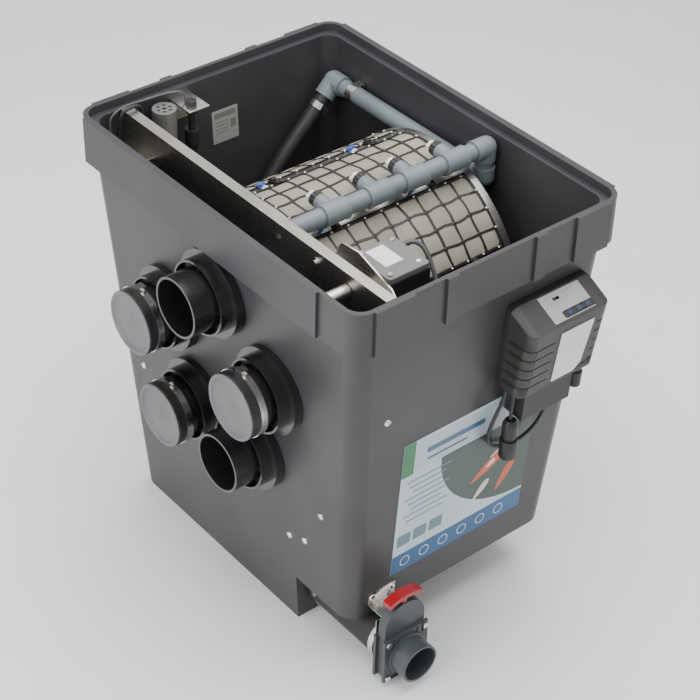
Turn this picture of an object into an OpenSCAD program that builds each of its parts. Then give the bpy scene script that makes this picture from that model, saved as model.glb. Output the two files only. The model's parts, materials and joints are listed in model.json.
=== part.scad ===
// Open drum filter for a garden pond: tank, rotating screen drum, rinse bar and controls.
// Origin: middle of the tank's plan, on the floor. +Z up, pipe side faces -X, control side faces -Y.

/* [Tank] */
// Length of the rim along X
rim_x = 580; // [520:1:760]
// Width of the rim along Y
rim_y = 775; // [720:1:980]
// Height from the floor to the lip
tank_h = 820; // [800:1:1000]
// Height of the skirt under the lip
skirt_h = 86; // [70:1:100]
// How far the body stands in from the skirt
body_inset = 19; // [14:1:30]
// Draft of each X side over the body's height
draft_x = 45; // [20:1:60]
// Draft of each Y side over the body's height
draft_y = 48; // [20:1:60]
// Thickness of the tank's wall
wall_t = 8; // [5:0.5:12]
// Radius of the upright corners
corner_r = 35; // [20:1:50]
// Height of the raised bottom along the front side
step_h = 105; // [80:1:120]
// Distance from the middle to the wall of the step
step_y = 176; // [150:1:220]
// Depth of the ledge under the lip
ledge_drop = 15; // [8:1:25]
// How far the proud panels stand out of the skirt
proud_t = 6; // [3:0.5:9]

/* [Pipe connections] */
// Outer diameter of the connection pipes
port_d = 110; // [90:1:125]
// Wall of the connection pipes
port_wall = 4.6; // [3:0.1:8]
// How far the pipes stand out of the wall
port_len = 84; // [60:1:120]
// Outer diameter of the bolted flange
flange_d = 160; // [145:1:162]
// Thickness of the flange
flange_t = 18; // [10:1:19]
// Length of the collar in front of the flange
collar_len = 22; // [12:1:30]
// Wall of an end cap
cap_wall = 5; // [3:0.5:6]
// Height of the single upper connection
port_top_z = 650; // [600:1:700]
// Height of the two middle connections
port_mid_z = 532; // [500:1:560]
// Height of the two lower connections
port_low_z = 362; // [300:1:380]
// Distance of the middle connections from the centre line
port_mid_y = 145; // [130:1:170]
// Distance of the lower connections from the centre line
port_low_y = 83; // [82:1:100]

/* [Drum] */
// Outer radius of the drum's steel rings
drum_r = 237; // [200:1:237]
// Height of the drum's axis
drum_z = 528; // [500:1:535]
// Length of the drum between the outer faces of its rings
drum_len = 372; // [300:1:380]
// Width of each steel ring
ring_w = 14; // [10:1:24]
// Number of screen panels round the drum
panel_count = 9; // [6:1:12]
// Radius of the rear axle
axle_r = 12; // [8:1:20]
// How far the drive ring's teeth stay inside the drum's steel rings
gear_drop = 11; // [11:1:30]
// Number of teeth of the drive ring
gear_teeth = 72; // [48:1:96]
// Number of teeth of the drive pinion
pinion_teeth = 7; // [6:1:10]
// Radius of each support roller
roller_r = 18; // [12:1:24]

/* [Partition] */
// Distance from the middle to the partition's front face
part_x = 208; // [190:1:215]
// Thickness of the partition's plate
part_t = 3; // [2:0.5:5]
// Width of the partition's top flange
part_flange = 20; // [12:1:30]

/* [Rinse system] */
// Outer diameter of the plastic rinse pipe
rinse_d = 32; // [20:1:32]
// Height of the spray bar
bar_z = 785; // [780:1:788]
// Distance of the spray bar from the middle, towards the front
bar_y = 92; // [80:1:110]
// Gap between the supply pipe's fittings and the wall
supply_gap = 1.07; // [0.8:0.01:12]
// Height of the supply pipe
supply_z = 727; // [700:1:735]

/* [Control unit] */
// Left edge of the control unit
ctl_x = 45; // [20:1:60]
// Width of the control unit
ctl_w = 178; // [150:1:200]
// Height of the control unit above the floor
ctl_z = 527; // [500:1:540]
// Height of the control unit at the wall
ctl_h = 173; // [150:1:180]
// Depth of the control unit
ctl_d = 70; // [60:1:90]
// Depth of the control unit's back half
back_d = 12; // [8:1:16]
// Drop of the sloping panel from back to front
ctl_drop = 33; // [20:1:45]
// Travel of a push button
button_travel = 1; // [0.5:0.1:1.5]

/* [Drain valve] */
// Outer diameter of the drain pipe
drain_d = 75; // [50:1:75]
// Distance of the drain's axis from the middle
drain_x = 165; // [150:1:175]
// Height of the drain's axis
drain_z = 58; // [52:1:62]
// Side of the valve's square flanges
valve_w = 98; // [86:1:104]
// How far the valve's front face stands out past the foot of the wall
valve_out = 81.5; // [78:0.5:120]
// Travel of the valve's gate
gate_travel = 70; // [40:1:78]

/* [Hidden] */
$fn = 64;

// Running gap between pieces that move, and gap of a bonded or sliding fit
gap = 0.3;
fit = 0.15;

// Tank
body_top = tank_h - skirt_h;
half_x = rim_x / 2 - body_inset;
half_y = rim_y / 2 - body_inset;
tilt_x = atan(draft_x / body_top);
tilt_y = atan(draft_y / body_top);
ledge_z = tank_h - ledge_drop;
lip_in = 8;
plane_x = rim_x / 2 - proud_t;
plane_y = rim_y / 2 - proud_t;
// Outer faces of the drafted walls at height z
function wall_x(z) = half_x - draft_x * (body_top - min(z, body_top)) / body_top;
function wall_y(z) = half_y - draft_y * (body_top - min(z, body_top)) / body_top;

// Pipe connections: distance from the centre line, height, closed by a cap or not
ports = [[0, port_top_z, false], [port_mid_y, port_mid_z, true], [-port_mid_y, port_mid_z, true],
    [port_low_y, port_low_z, true], [-port_low_y, port_low_z, false]];
port_r = port_d / 2;
neck_r = port_r - 1;
cap_r = port_r + cap_wall;
collar_r = flange_d / 2 - 12;
collar_wall = 4;
pipe_in = 24;

// Drum
drum_x0 = -drum_len / 2 + 27;
drum_x1 = drum_x0 + drum_len;
screen_r = drum_r - 4;
panel_a = 360 / panel_count;
panel_first = 20;
part_back = -part_x + part_t;
opening_r = drum_r - 17;
roller_a = 38;
trough_foot = port_top_z - port_r - 5;
trough_top = drum_z + opening_r - 53;
trough_clear = 25.35;
trough_w = 2 * sqrt(pow(opening_r - trough_clear, 2) - pow(trough_top - drum_z, 2));
tooth_depth = 4.5;
gear_r = drum_r - gear_drop;
gear_pitch_r = gear_r - tooth_depth * 0.6;
pinion_pitch_r = gear_pitch_r * pinion_teeth / gear_teeth;
pinion_r = pinion_pitch_r + tooth_depth * 0.4;
pinion_a = round(57 / (360 / gear_teeth)) * 360 / gear_teeth;
gear_step = 2 * PI * gear_pitch_r / gear_teeth;
gear_w = 10;
run_fit = 0.05;
gear_x = drum_x0 - gear_w;
motor_x = drum_x0 + ring_w + 9;
motor_home = [-200.7002, 668.5318];
pinion_reach = gear_pitch_r + pinion_pitch_r;
shaft_r = max(2, (pinion_reach - drum_r) * 0.62424);

// Partition: places of its bolts along Y and Z
bolt_places = [[-191, 788], [-268, 777], [-228, 700], [300, 700], [300, 300], [-300, 300]];

// Rinse system
rinse_r = rinse_d / 2;
tee_r = rinse_r + 3.5;
nozzle_x = [-95, -2, 76, 167];
nozzle_tilt = 86;
supply_x = wall_x(supply_z) - wall_t - tee_r - supply_gap;
supply_end_y = 322;

// Level sensing: inner face of the back wall, places of the sensor and the float
back_in = wall_y(738) - wall_t;
sensor_y = back_in - 30.5;
stem_y = back_in - 38.5;

// Control unit
front_lean = 12;
lean_a = atan(front_lean / (ctl_h - ctl_drop - 1));
slope_back = [-back_d, ctl_h - 9];
slope_front = [-ctl_d, ctl_h - ctl_drop];
slope_a = atan((slope_back[1] - slope_front[1]) / (slope_back[0] - slope_front[0]));
panel_w = 92;
panel_l = 54;
panel_t = 2;
button_pitch = 20;

// Drain valve
drain_r = drain_d / 2;
plate_t = 6;
valve_y = wall_y(0) + valve_out;
valve_back = valve_y - 31;
gate_t = 4;
bonnet_h = gate_travel - valve_w / 2 - 1;
handle_z = valve_w / 2 + bonnet_h + drain_r + 7 + 10;
valve_mid = valve_y - 15.5;

// Soft tubes: outer sizes
cable_d = 7;
thin_d = 4;
motor_cable_d = 8;
hose_d = 30;

// Route of the control unit's loop of cable
control_route = [[50, -378, 525], [46, -378, 505], [36, -376, 480], [30, -372, 455], [30, -366, 430],
    [36, -361, 408], [48, -357, 390], [64, -355, 378], [84, -355, 370], [106, -356, 368],
    [128, -358, 374], [146, -361, 388], [156, -365, 408], [160, -369, 430], [160, -371, 453]];
// Route of the short lead down to the connector
lead_route = [[67, -381, 524], [67, -381, 515], [67, -381, 500], [67, -380, 485], [67, -379, 470],
    [67, -379, 452]];
// Route of the motor's cable
motor_route = [[-50, -214, 768], [-45, -214, 768], [-37, -216, 769], [-28, -221, 768], [-21, -230, 762],
    [-19, -242, 751], [-20, -255, 736], [-22, -268, 718], [-25, -281, 698], [-28, -294, 678],
    [-30, -308, 658], [-31, -322, 641], [-31, -336, 629], [-31, -352, 622]];
// Route of the thin sensor cable under the lip
sensor_route = [[-84, 340, 791], [-84, 341, 800], [-92, 343, 809], [-108, 346, 812], [-128, 350, 812],
    [-148, 353, 811], [-168, 354, 811], [-188, 353, 813], [-208, 352, 813], [-224, 351, 808],
    [-234, 350, 800], [-238, 348, 784], [-240, 346, 766], [-240, 344, 750]];
// Route of the pump's cable over the partition's end
pump_route = [[-62, 258, 130], [-71, 259, 132], [-86, 269, 144], [-104, 278, 166], [-126, 288, 196],
    [-148, 300, 240], [-164, 310, 300], [-172, 318, 370], [-176, 325, 450], [-178, 331, 540],
    [-178, 336, 630], [-176, 339, 710], [-175, 340, 766], [-175, 340, 792], [-179, 340, 809],
    [-190, 340, 815], [-205, 340, 815], [-216, 340, 809], [-222, 340, 792], [-227, 339, 766],
    [-230, 338, 738]];
// Route of the flush hose, held at both ends
hose_route = [[supply_x - 24, supply_end_y, supply_z - 24], [supply_x - 38, supply_end_y, supply_z - 38],
    [supply_x - 62, supply_end_y, supply_z - 62], [150, 322, 636], [118, 321, 604], [88, 319, 570],
    [62, 316, 532], [42, 312, 488], [28, 306, 440], [18, 298, 390], [10, 288, 345],
    [4, 277, 310], [0, 268, wall_t + 277], [0, 268, wall_t + 260]];

// ---- helpers ----
// Rounded rectangle, centred
module slab(x, y, h, r) {
    linear_extrude(h) hull() for (sx = [-1, 1], sy = [-1, 1])
        translate([sx * (x / 2 - r), sy * (y / 2 - r)]) circle(r, $fn = 32);
}
// The tank's drafted body, drawn in by the given amount on every side
module body_solid(inset, low) {
    hull() {
        translate([0, 0, body_top]) slab(2 * (half_x - inset), 2 * (half_y - inset), 0.01, corner_r - inset);
        translate([0, 0, low]) slab(2 * (wall_x(low) - inset), 2 * (wall_y(low) - inset), 0.01,
            corner_r - inset);
    }
}
// Tube along X from x0 to x1
module tube_x(x0, x1, r_out, r_in) {
    translate([x0, 0, 0]) rotate([0, 90, 0]) difference() {
        cylinder(h = x1 - x0, r = r_out);
        if (r_in > 0) translate([0, 0, -1]) cylinder(h = x1 - x0 + 2, r = r_in);
    }
}
// Tube along Y from y0 to y1
module tube_y(y0, y1, r_out, r_in) {
    translate([0, y0, 0]) rotate([-90, 0, 0]) difference() {
        cylinder(h = y1 - y0, r = r_out);
        if (r_in > 0) translate([0, 0, -1]) cylinder(h = y1 - y0 + 2, r = r_in);
    }
}
// Children at a connection: origin on the wall, +X out of the tank's pipe side
module at_port(p) {
    translate([-wall_x(p[1]), p[0], p[1]]) rotate([0, 0, 180]) children();
}
// Children on the front wall: +X right, +Y into the wall, +Z up along the wall
module on_front(x, z) {
    translate([x, -wall_y(z), z]) rotate([tilt_y, 0, 0]) children();
}
// Children on the pipe side's wall: +X into the wall
module on_side(y, z) {
    translate([-wall_x(z), y, z]) rotate([0, -tilt_x, 0]) children();
}
// Ring about the drum's axis
module drum_ring(x0, x1, r_out, r_in) {
    translate([0, 0, drum_z]) tube_x(x0, x1, r_out, r_in);
}
// Children turned about the drum's axis; angle 0 is straight up, positive towards the front
module on_drum(a) {
    translate([0, 0, drum_z]) rotate([a, 0, 0]) children();
}
// Piece of a ring about the drum's axis, between two angles
module drum_arc(x0, x1, r_out, r_in, a0, a1) {
    translate([x0, 0, drum_z]) rotate([0, 90, 0]) rotate([0, 0, 180 - a1])
        rotate_extrude(angle = a1 - a0) translate([r_in, 0]) square([r_out - r_in, x1 - x0]);
}
// Unit vector, cross product helpers for the swept tubes
function unit(v) = v / norm(v);
function along(p, i) = unit(p[min(i + 1, len(p) - 1)] - p[max(i - 1, 0)]);
function side_of(t) = unit(cross(t, abs(t[2]) > 0.9 ? [0, 1, 0] : [0, 0, 1]));
// Side directions carried along the route so that the tube does not twist
function carry(p, i) = i == 0 ? side_of(along(p, 0)) :
    let (s = carry(p, i - 1), t = along(p, i)) unit(s - t * (s * t));
// Closed tube of diameter d swept along the points
module sweep(p, d, sides = 8) {
    rings = [for (i = [0 : len(p) - 1]) let (t = along(p, i), s = carry(p, i), u = cross(t, s))
        for (k = [0 : sides - 1]) p[i] + d / 2 * (cos(360 * k / sides) * s + sin(360 * k / sides) * u)];
    last = (len(p) - 1) * sides;
    walls = [for (i = [0 : len(p) - 2], k = [0 : sides - 1]) let (a = i * sides + k,
        b = i * sides + (k + 1) % sides) [a, a + sides, b + sides, b]];
    ends = [[for (k = [0 : sides - 1]) k], [for (k = [sides - 1 : -1 : 0]) last + k]];
    polyhedron(rings, concat(walls, ends));
}
// Worm-drive band clamp about the X axis, centred on the origin, screw on top
module band_clamp(r) {
    tube_x(-6, 6, r + 1.4, r + fit);
    translate([-7, -8, r + 0.6]) cube([14, 16, 9]);
    translate([0, 8, r + 5]) rotate([-90, 0, 0]) cylinder(h = 6, r = 3.5, $fn = 24);
}

// ---- tank ----
module skirt() {
    difference() {
        translate([0, 0, body_top]) slab(2 * plane_x, 2 * plane_y, skirt_h, corner_r - 3);
        translate([0, 0, body_top - 1]) slab(2 * (plane_x - lip_in), 2 * (plane_y - lip_in), skirt_h + 2,
            corner_r - lip_in);
    }
}
module ledge() {
    difference() {
        translate([0, 0, ledge_z - 8]) slab(2 * plane_x - 2, 2 * plane_y - 2, 8, corner_r - 4);
        translate([0, 0, ledge_z - 9]) slab(2 * (half_x - wall_t), 2 * (half_y - wall_t), 10,
            corner_r - wall_t);
    }
}
module upper_wall() {
    difference() {
        translate([0, 0, body_top]) slab(2 * half_x, 2 * half_y, ledge_z - body_top, corner_r);
        translate([0, 0, body_top - 1]) slab(2 * (half_x - wall_t), 2 * (half_y - wall_t), skirt_h,
            corner_r - wall_t);
    }
}
// Proud panels of the skirt: corner zones and two narrow ribs on each Y side, long panels on the X sides
module proud_panels() {
    corner_zone = 172;
    for (s = [-1, 1]) {
        for (x = [-94, 94]) translate([x - 12, s > 0 ? plane_y - 1 : -plane_y - proud_t + 1, body_top])
            cube([24, proud_t, skirt_h]);
        for (t = [-1, 1]) translate([t > 0 ? corner_zone : -plane_x + corner_r,
            s > 0 ? plane_y - 1 : -plane_y - proud_t + 1, body_top])
            cube([plane_x - corner_r - corner_zone, proud_t, skirt_h]);
    }
    translate([-plane_x - proud_t + 1, -rim_y / 2 + 98, body_top])
        cube([proud_t, rim_y - 98 - corner_r, skirt_h]);
    translate([plane_x - 1, -rim_y / 2 + corner_r, body_top])
        cube([proud_t, rim_y - 2 * corner_r, skirt_h]);
}
module tank() {
    color([0.25, 0.26, 0.29]) {
        difference() {
            body_solid(0, 0);
            difference() {
                body_solid(wall_t, wall_t);
                translate([-rim_x, -rim_y, 0]) cube([2 * rim_x, rim_y - step_y + wall_t, step_h + wall_t]);
            }
            translate([-rim_x, -rim_y, -1]) cube([2 * rim_x, rim_y - step_y, step_h + 1]);
            for (p = ports) at_port(p) translate([-40, 0, 0]) tube_x(0, 80, neck_r + fit, 0);
            translate([-drain_x, -step_y, drain_z]) tube_y(-10, wall_t + 10, drain_r + fit, 0);
        }
        upper_wall();
        ledge();
        skirt();
        proud_panels();
    }
}

// ---- partition between the inlet chamber and the drum chamber ----
module partition_outline() {
    intersection() {
        body_solid(wall_t + 0.5, wall_t + 2);
        translate([-part_x, -rim_y, 0]) cube([part_t, 2 * rim_y, body_top]);
    }
    translate([-part_x, -half_y + wall_t + 0.5, body_top - 1])
        cube([part_t, 2 * (half_y - wall_t - 0.5), ledge_z - body_top + 1]);
    translate([-part_x, -half_y + wall_t + 0.5, ledge_z])
        cube([part_flange, 2 * (half_y - wall_t - 0.5), part_t]);
}
module partition() {
    color([0.72, 0.72, 0.70]) difference() {
        partition_outline();
        translate([-part_x - 5, -rim_y, 0])
            cube([part_t + 10, rim_y - step_y + wall_t + 0.5, step_h + wall_t + 0.5]);
        drum_ring(-part_x - 5, part_back + 5, opening_r, 0);
        translate([0, -bar_y, bar_z]) tube_x(-part_x - 5, part_back + 5, 6.2, 0);
        for (q = bolt_places) translate([0, q[0], q[1]]) tube_x(-part_x - 5, part_back + 5, 3.2, 0);
    }
}
module partition_bolts() {
    color([0.8, 0.8, 0.78]) for (q = bolt_places) translate([0, q[0], q[1]]) {
        tube_x(-part_x - 1.5, -part_x, 8, q[0] == -268 ? 3 : 0);
        if (q[0] != -268) tube_x(-part_x - 6, -part_x - 1.5, 5, 0);
        tube_x(q[0] == -268 ? -part_x : -part_x - 2, part_back + 4, 3, 0);
        tube_x(part_back, part_back + 5, 5, 0);
    }
}
module spacer_tube() {
    color([0.7, 0.68, 0.62]) translate([0, -268, 777])
        tube_x(wall_t - wall_x(765), -part_x - 1.5, 12, 3.2);
}
module inlet_tray() {
    color([0.5, 0.5, 0.49]) {
        intersection() {
            translate([-half_x + wall_t, 268, body_top]) cube([half_x - wall_t - part_x, half_y, 3]);
            translate([0, 0, body_top]) slab(2 * (half_x - wall_t), 2 * (half_y - wall_t), 20,
                corner_r - wall_t);
        }
        translate([-half_x + wall_t, 268, body_top + 3]) cube([half_x - wall_t - part_x, 3, 14]);
    }
}

// ---- drum ----
module drum_frame() {
    color([0.78, 0.77, 0.74]) {
        drum_ring(drum_x0, drum_x0 + ring_w, drum_r, opening_r + 2);
        difference() {
            drum_ring(drum_x1 - ring_w, drum_x1, drum_r, 0);
            drum_ring(drum_x1 - ring_w - 1, drum_x1 - 4, drum_r - 16, 0);
            drum_ring(drum_x1 - 20, drum_x1 + 1, axle_r + run_fit, 0);
        }
        drum_ring(drum_x1 - 44, drum_x1 - 4, 30, axle_r + run_fit);
        for (k = [0 : panel_count - 1]) on_drum(panel_first + k * panel_a)
            translate([drum_x0 + ring_w - 1, -7, screen_r - 14]) cube([drum_len - 2 * ring_w + 2, 14, 16]);
    }
}
module drum_gear() {
    color([0.9, 0.9, 0.88]) difference() {
        drum_ring(gear_x, drum_x0, gear_r, opening_r - 8);
        for (k = [0 : gear_teeth - 1]) on_drum(k * 360 / gear_teeth)
            translate([gear_x - 1, -gear_step * 0.26, gear_r - tooth_depth - 1])
                cube([gear_w + 2, gear_step * 0.52, tooth_depth + 3]);
    }
}
// Curved screen panels between the bars
module screen_panels() {
    color([0.72, 0.70, 0.64]) for (k = [0 : panel_count - 1])
        drum_arc(drum_x0 + ring_w + 0.5, drum_x1 - ring_w - 0.5, screen_r + 1, screen_r - 1,
            panel_first + k * panel_a + 2.4, panel_first + (k + 1) * panel_a - 2.4);
}
// Moulded frame over each panel, with a rib along its middle and one round it
module screen_grids() {
    x0 = drum_x0 + ring_w + 0.5;
    x1 = drum_x1 - ring_w - 0.5;
    mid_x = (x0 + x1) / 2;
    rim_a = 1.2;
    color([0.13, 0.13, 0.13]) for (k = [0 : panel_count - 1]) difference() {
        a0 = panel_first + k * panel_a + 2.4;
        a1 = panel_first + (k + 1) * panel_a - 2.4;
        mid_a = (a0 + a1) / 2;
        drum_arc(x0, x1, screen_r + 4, screen_r + 1, a0, a1);
        for (x = [x0 + 5, mid_x + 2], a = [a0 + rim_a, mid_a + rim_a / 2])
            drum_arc(x, x + mid_x - x0 - 7, screen_r + 6, screen_r - 1, a, a + mid_a - a0 - 1.5 * rim_a);
    }
}
module panel_clips() {
    color([0.1, 0.1, 0.1]) for (k = [0 : panel_count - 1], x = [-82, 128])
        on_drum(panel_first + k * panel_a) translate([x - 6, -13, drum_r]) cube([12, 26, 4]);
}
module panel_latches() {
    color([0.2, 0.35, 0.7]) for (k = [0 : panel_count - 1], x = [-112, 84])
        on_drum(panel_first + k * panel_a) translate([x, 0, screen_r + 2]) {
            cylinder(h = 5, r = 5, $fn = 24);
            translate([-8, -3, 5]) cube([16, 6, 3]);
        }
}
module rear_bearing() {
    color([0.3, 0.3, 0.32]) {
        intersection() {
            drum_ring(drum_x1 + 2, half_x, 45, 0);
            body_solid(wall_t, wall_t);
        }
        drum_ring(drum_x1 - 40, drum_x1 + 3, axle_r, 0);
    }
}
module drum_seal() {
    color([0.08, 0.08, 0.08]) drum_ring(part_back, gear_x - gap, opening_r + 8, opening_r - 2);
}
module support_roller(a) {
    on_drum(a) translate([0, 0, drum_r + gap + roller_r])
        tube_x(drum_x0 + 1, drum_x0 + ring_w - 1, roller_r, 5 + run_fit);
}
module support_roller_front() {
    color([0.85, 0.85, 0.82]) support_roller(180 - roller_a);
}
module support_roller_back() {
    color([0.85, 0.85, 0.82]) support_roller(180 + roller_a);
}
module roller_mounts() {
    color([0.7, 0.7, 0.68]) for (a = [180 - roller_a, 180 + roller_a])
        on_drum(a) translate([0, 0, drum_r + gap + roller_r]) {
            tube_x(part_back, drum_x0 + ring_w + 2, 5, 0);
            tube_x(part_back, drum_x0 - gap, 12, 0);
        }
}

// ---- drive ----
module at_pinion() {
    on_drum(pinion_a) translate([0, 0, pinion_reach]) children();
}
// Children drawn for the pinion's axis at motor_home, moved to where the axis is
module at_motor() {
    translate([0, -pinion_reach * sin(pinion_a) - motor_home[0],
        drum_z + pinion_reach * cos(pinion_a) - motor_home[1]]) children();
}
module drive_pinion() {
    core = pinion_r - tooth_depth - 1;
    color([0.9, 0.9, 0.86]) at_pinion() {
        tube_x(gear_x + 0.5, drum_x0 - 0.5, core, 0);
        for (k = [0 : pinion_teeth - 1]) rotate([180 + k * 360 / pinion_teeth, 0, 0])
            translate([gear_x + 0.5, -2, core - 2]) cube([gear_w - 1, 4, pinion_r - core + 2]);
        tube_x(drum_x0 - 1, motor_x + 10, shaft_r, 0);
    }
}
// Space that the turning drum needs, from x0 to x1
module drum_clearance(x0, x1, room) {
    drum_ring(x0, x1, drum_r + room, 0);
}
module motor_bracket() {
    color([0.8, 0.79, 0.76]) difference() {
        at_motor() {
            translate([motor_x - 3, 0, 0]) rotate([90, 0, 90]) linear_extrude(3)
                polygon([[-322, 730], [-292, 762], [-210, 788], [-168, 784], [-158, 770], [-186, 700],
                    [-186, 640], [-262, 628], [-322, 628]]);
            translate([part_back, -286, 742]) cube([motor_x - part_back, 56, 3]);
            translate([part_back, -286, 742]) cube([3, 56, 24]);
        }
        drum_clearance(motor_x - 10, motor_x + 10, 3);
        at_pinion() tube_x(motor_x - 10, motor_x + 10, shaft_r + 0.6, 0);
    }
}
module gear_motor() {
    color([0.12, 0.12, 0.13]) difference() {
        at_motor() {
            translate([motor_x, -314, 640]) cube([96, 52, 60]);
            translate([motor_x, -284, 700]) cube([86, 94, 62]);
            translate([motor_x, -264, 646]) cube([14, 78, 56]);
        }
        drum_clearance(motor_x - 10, motor_x + 100, 2.5);
        at_pinion() tube_x(motor_x - 10, motor_x + 10.5, shaft_r + run_fit, 0);
    }
}
module motor_cover() {
    color([0.52, 0.53, 0.53]) at_motor() hull() for (x = [-130, -56], y = [-278, -196])
        translate([x, y, 762]) cylinder(h = 12, r = 6, $fn = 24);
}
module motor_cable() {
    color([0.35, 0.35, 0.36]) sweep(motor_route, motor_cable_d);
}

// ---- rinse system ----
module spray_bar() {
    color([0.52, 0.55, 0.57]) {
        translate([0, -bar_y, bar_z]) {
            difference() {
                union() {
                    tube_x(part_back + 0.5, supply_x, rinse_r, 0);
                    for (x = nozzle_x) {
                        tube_x(x - 24, x + 24, tee_r, 0);
                        at_nozzle(x) cylinder(h = 36, r = rinse_r - 2);
                    }
                    tube_x(supply_x - 30, supply_x, tee_r, 0);
                    translate([supply_x, 0, 0]) sphere(tee_r);
                    translate([supply_x, 0, supply_z - bar_z]) cylinder(h = bar_z - supply_z, r = rinse_r);
                    translate([supply_x, 0, -24]) cylinder(h = 24, r = tee_r);
                    translate([supply_x, 0, supply_z - bar_z]) cylinder(h = 20, r = tee_r);
                    translate([supply_x, 0, supply_z - bar_z]) sphere(tee_r);
                    translate([supply_x, 0, supply_z - bar_z]) tube_y(0, 30, tee_r, 0);
                }
                tube_x(part_back + 6, supply_x, rinse_r - 3, 0);
                translate([supply_x, 0, supply_z - bar_z]) cylinder(h = bar_z - supply_z, r = rinse_r - 3);
                translate([supply_x, 0, supply_z - bar_z]) tube_y(0, 6, rinse_r - 3, 0);
                translate([supply_x, 0, supply_z - bar_z]) tube_y(5, 31, rinse_r + fit, 0);
                for (x = nozzle_x) at_nozzle(x) cylinder(h = 37, r = 5);
            }
        }
    }
}
// Children at a nozzle: origin on the bar's axis, +Z towards the drum's crown
module at_nozzle(x) {
    translate([x, 0, 0]) rotate([-nozzle_tilt, 0, 0]) children();
}
module spray_nozzles() {
    color([0.1, 0.1, 0.1]) for (x = nozzle_x) translate([0, -bar_y, bar_z]) at_nozzle(x)
        translate([0, 0, 36]) difference() {
            union() {
                cylinder(h = 14, r = 14, $fn = 12);
                cylinder(h = 22, r = 6);
            }
            translate([0, 0, -1]) cylinder(h = 19, r = 3);
        }
}
module supply_pipe() {
    color([0.52, 0.55, 0.57]) difference() {
        union() {
            translate([supply_x, 0, supply_z]) {
                tube_y(-bar_y + 6, supply_end_y, rinse_r, 0);
                tube_y(supply_end_y - 30, supply_end_y, tee_r, 0);
                translate([0, supply_end_y, 0]) sphere(tee_r + 0.5);
                translate([0, supply_end_y, 0]) rotate([0, 225, 0]) cylinder(h = 33.9, r = tee_r);
            }
        }
        translate([supply_x, 0, supply_z]) tube_y(-bar_y, supply_end_y, rinse_r - 3, 0);
        translate([supply_x, supply_end_y, supply_z]) rotate([0, 225, 0]) cylinder(h = 70, r = 8);
    }
}
module pipe_straps() {
    color([0.8, 0.8, 0.78]) for (y = [-30, 262]) translate([supply_x, y, supply_z]) difference() {
        union() {
            tube_y(-9, 9, rinse_r + 2, 0);
            translate([0, -9, -rinse_r - 2])
                cube([wall_x(supply_z - 20) - wall_t - supply_x, 18, 2 * rinse_r + 4]);
        }
        tube_y(-10, 10, rinse_r + fit, 0);
    }
}
module flush_hose() {
    color([0.12, 0.12, 0.13]) sweep(hose_route, hose_d, 12);
}
module flush_pump() {
    color([0.1, 0.1, 0.11]) {
        translate([-70, 185, wall_t]) cube([140, 120, 16]);
        translate([0, 245, wall_t + 16]) cylinder(h = 120, r = 55);
        translate([0, 245, wall_t + 136]) cylinder(h = 30, r = 38);
        translate([0, 268, wall_t + 160]) cylinder(h = 100, r = 14);
        translate([-62, 258, 130]) rotate([0, 90, 0]) cylinder(h = 14, r = 7);
    }
}

// ---- level sensing ----
module level_sensor() {
    color([0.5, 0.5, 0.5]) translate([-136, sensor_y, 0]) difference() {
        translate([0, 0, 715]) cylinder(h = 82, r = 22);
        translate([0, 0, 714]) cylinder(h = 78, r = 19.5);
        for (k = [0 : 5]) rotate(k * 60) translate([12, 0, 780]) cylinder(h = 20, r = 3);
        translate([0, 0, 780]) cylinder(h = 20, r = 4);
    }
}
module sensor_bracket() {
    color([0.82, 0.82, 0.80]) difference() {
        union() {
            translate([-104, stem_y - 22, 788]) cube([44, back_in - stem_y + 22, 3]);
            translate([-104, back_in - 3, 745]) cube([44, 3, 46]);
            translate([-158, back_in - 8, 738]) cube([60, 3, 26]);
            translate([-158, back_in - 8, 738]) cube([4, 8, 26]);
        }
        translate([-84, stem_y, 780]) cylinder(h = 20, r = 6.2);
    }
}
module float_stem() {
    color([0.12, 0.12, 0.12]) translate([-84, stem_y, 0]) {
        translate([0, 0, 700]) cylinder(h = 97, r = 6);
        translate([0, 0, 776]) cylinder(h = 12, r = 11);
        translate([0, 0, 791]) cylinder(h = 8, r = 11, $fn = 6);
        translate([0, 0, 696]) cylinder(h = 4, r = 9);
    }
}
module float() {
    color([0.15, 0.15, 0.15]) translate([-84, stem_y, 700 + gap]) difference() {
        union() {
            cylinder(h = 12, r1 = 9, r2 = 13);
            translate([0, 0, 12]) cylinder(h = 30, r = 13);
        }
        translate([0, 0, -1]) cylinder(h = 50, r = 6 + gap);
    }
}
// Trough that catches the rinsed-off dirt inside the drum and leads it to the upper connection
module waste_trough() {
    x0 = pipe_in - wall_x(port_top_z);
    low = trough_foot;
    high = trough_top - trough_foot;
    color([0.6, 0.6, 0.58]) {
        difference() {
            translate([x0, -trough_w / 2, low]) cube([drum_x1 - 69 - x0, trough_w, high]);
            translate([x0 + 3, -trough_w / 2 + 3, low + 3]) cube([drum_x1 - 75 - x0, trough_w - 6, high]);
            translate([0, 0, port_top_z]) tube_x(x0 - 1, x0 + 4, port_r - port_wall, 0);
        }
        for (s = [-1, 1]) translate([-part_x - 3, s > 0 ? trough_w / 2 - 1 : -opening_r - 6, low + 10])
            cube([3, opening_r + 7 - trough_w / 2, 24]);
    }
}
module info_plate() {
    color([0.75, 0.76, 0.74]) translate([-14, wall_y(664) - wall_t, 664]) rotate([-tilt_y, 0, 0])
        translate([0, -1, 0]) cube([58, 1, 66]);
}
module sensor_cable() {
    color([0.3, 0.3, 0.3]) sweep(sensor_route, thin_d);
}
module pump_cable() {
    color([0.2, 0.2, 0.2]) sweep(pump_route, cable_d);
}

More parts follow.
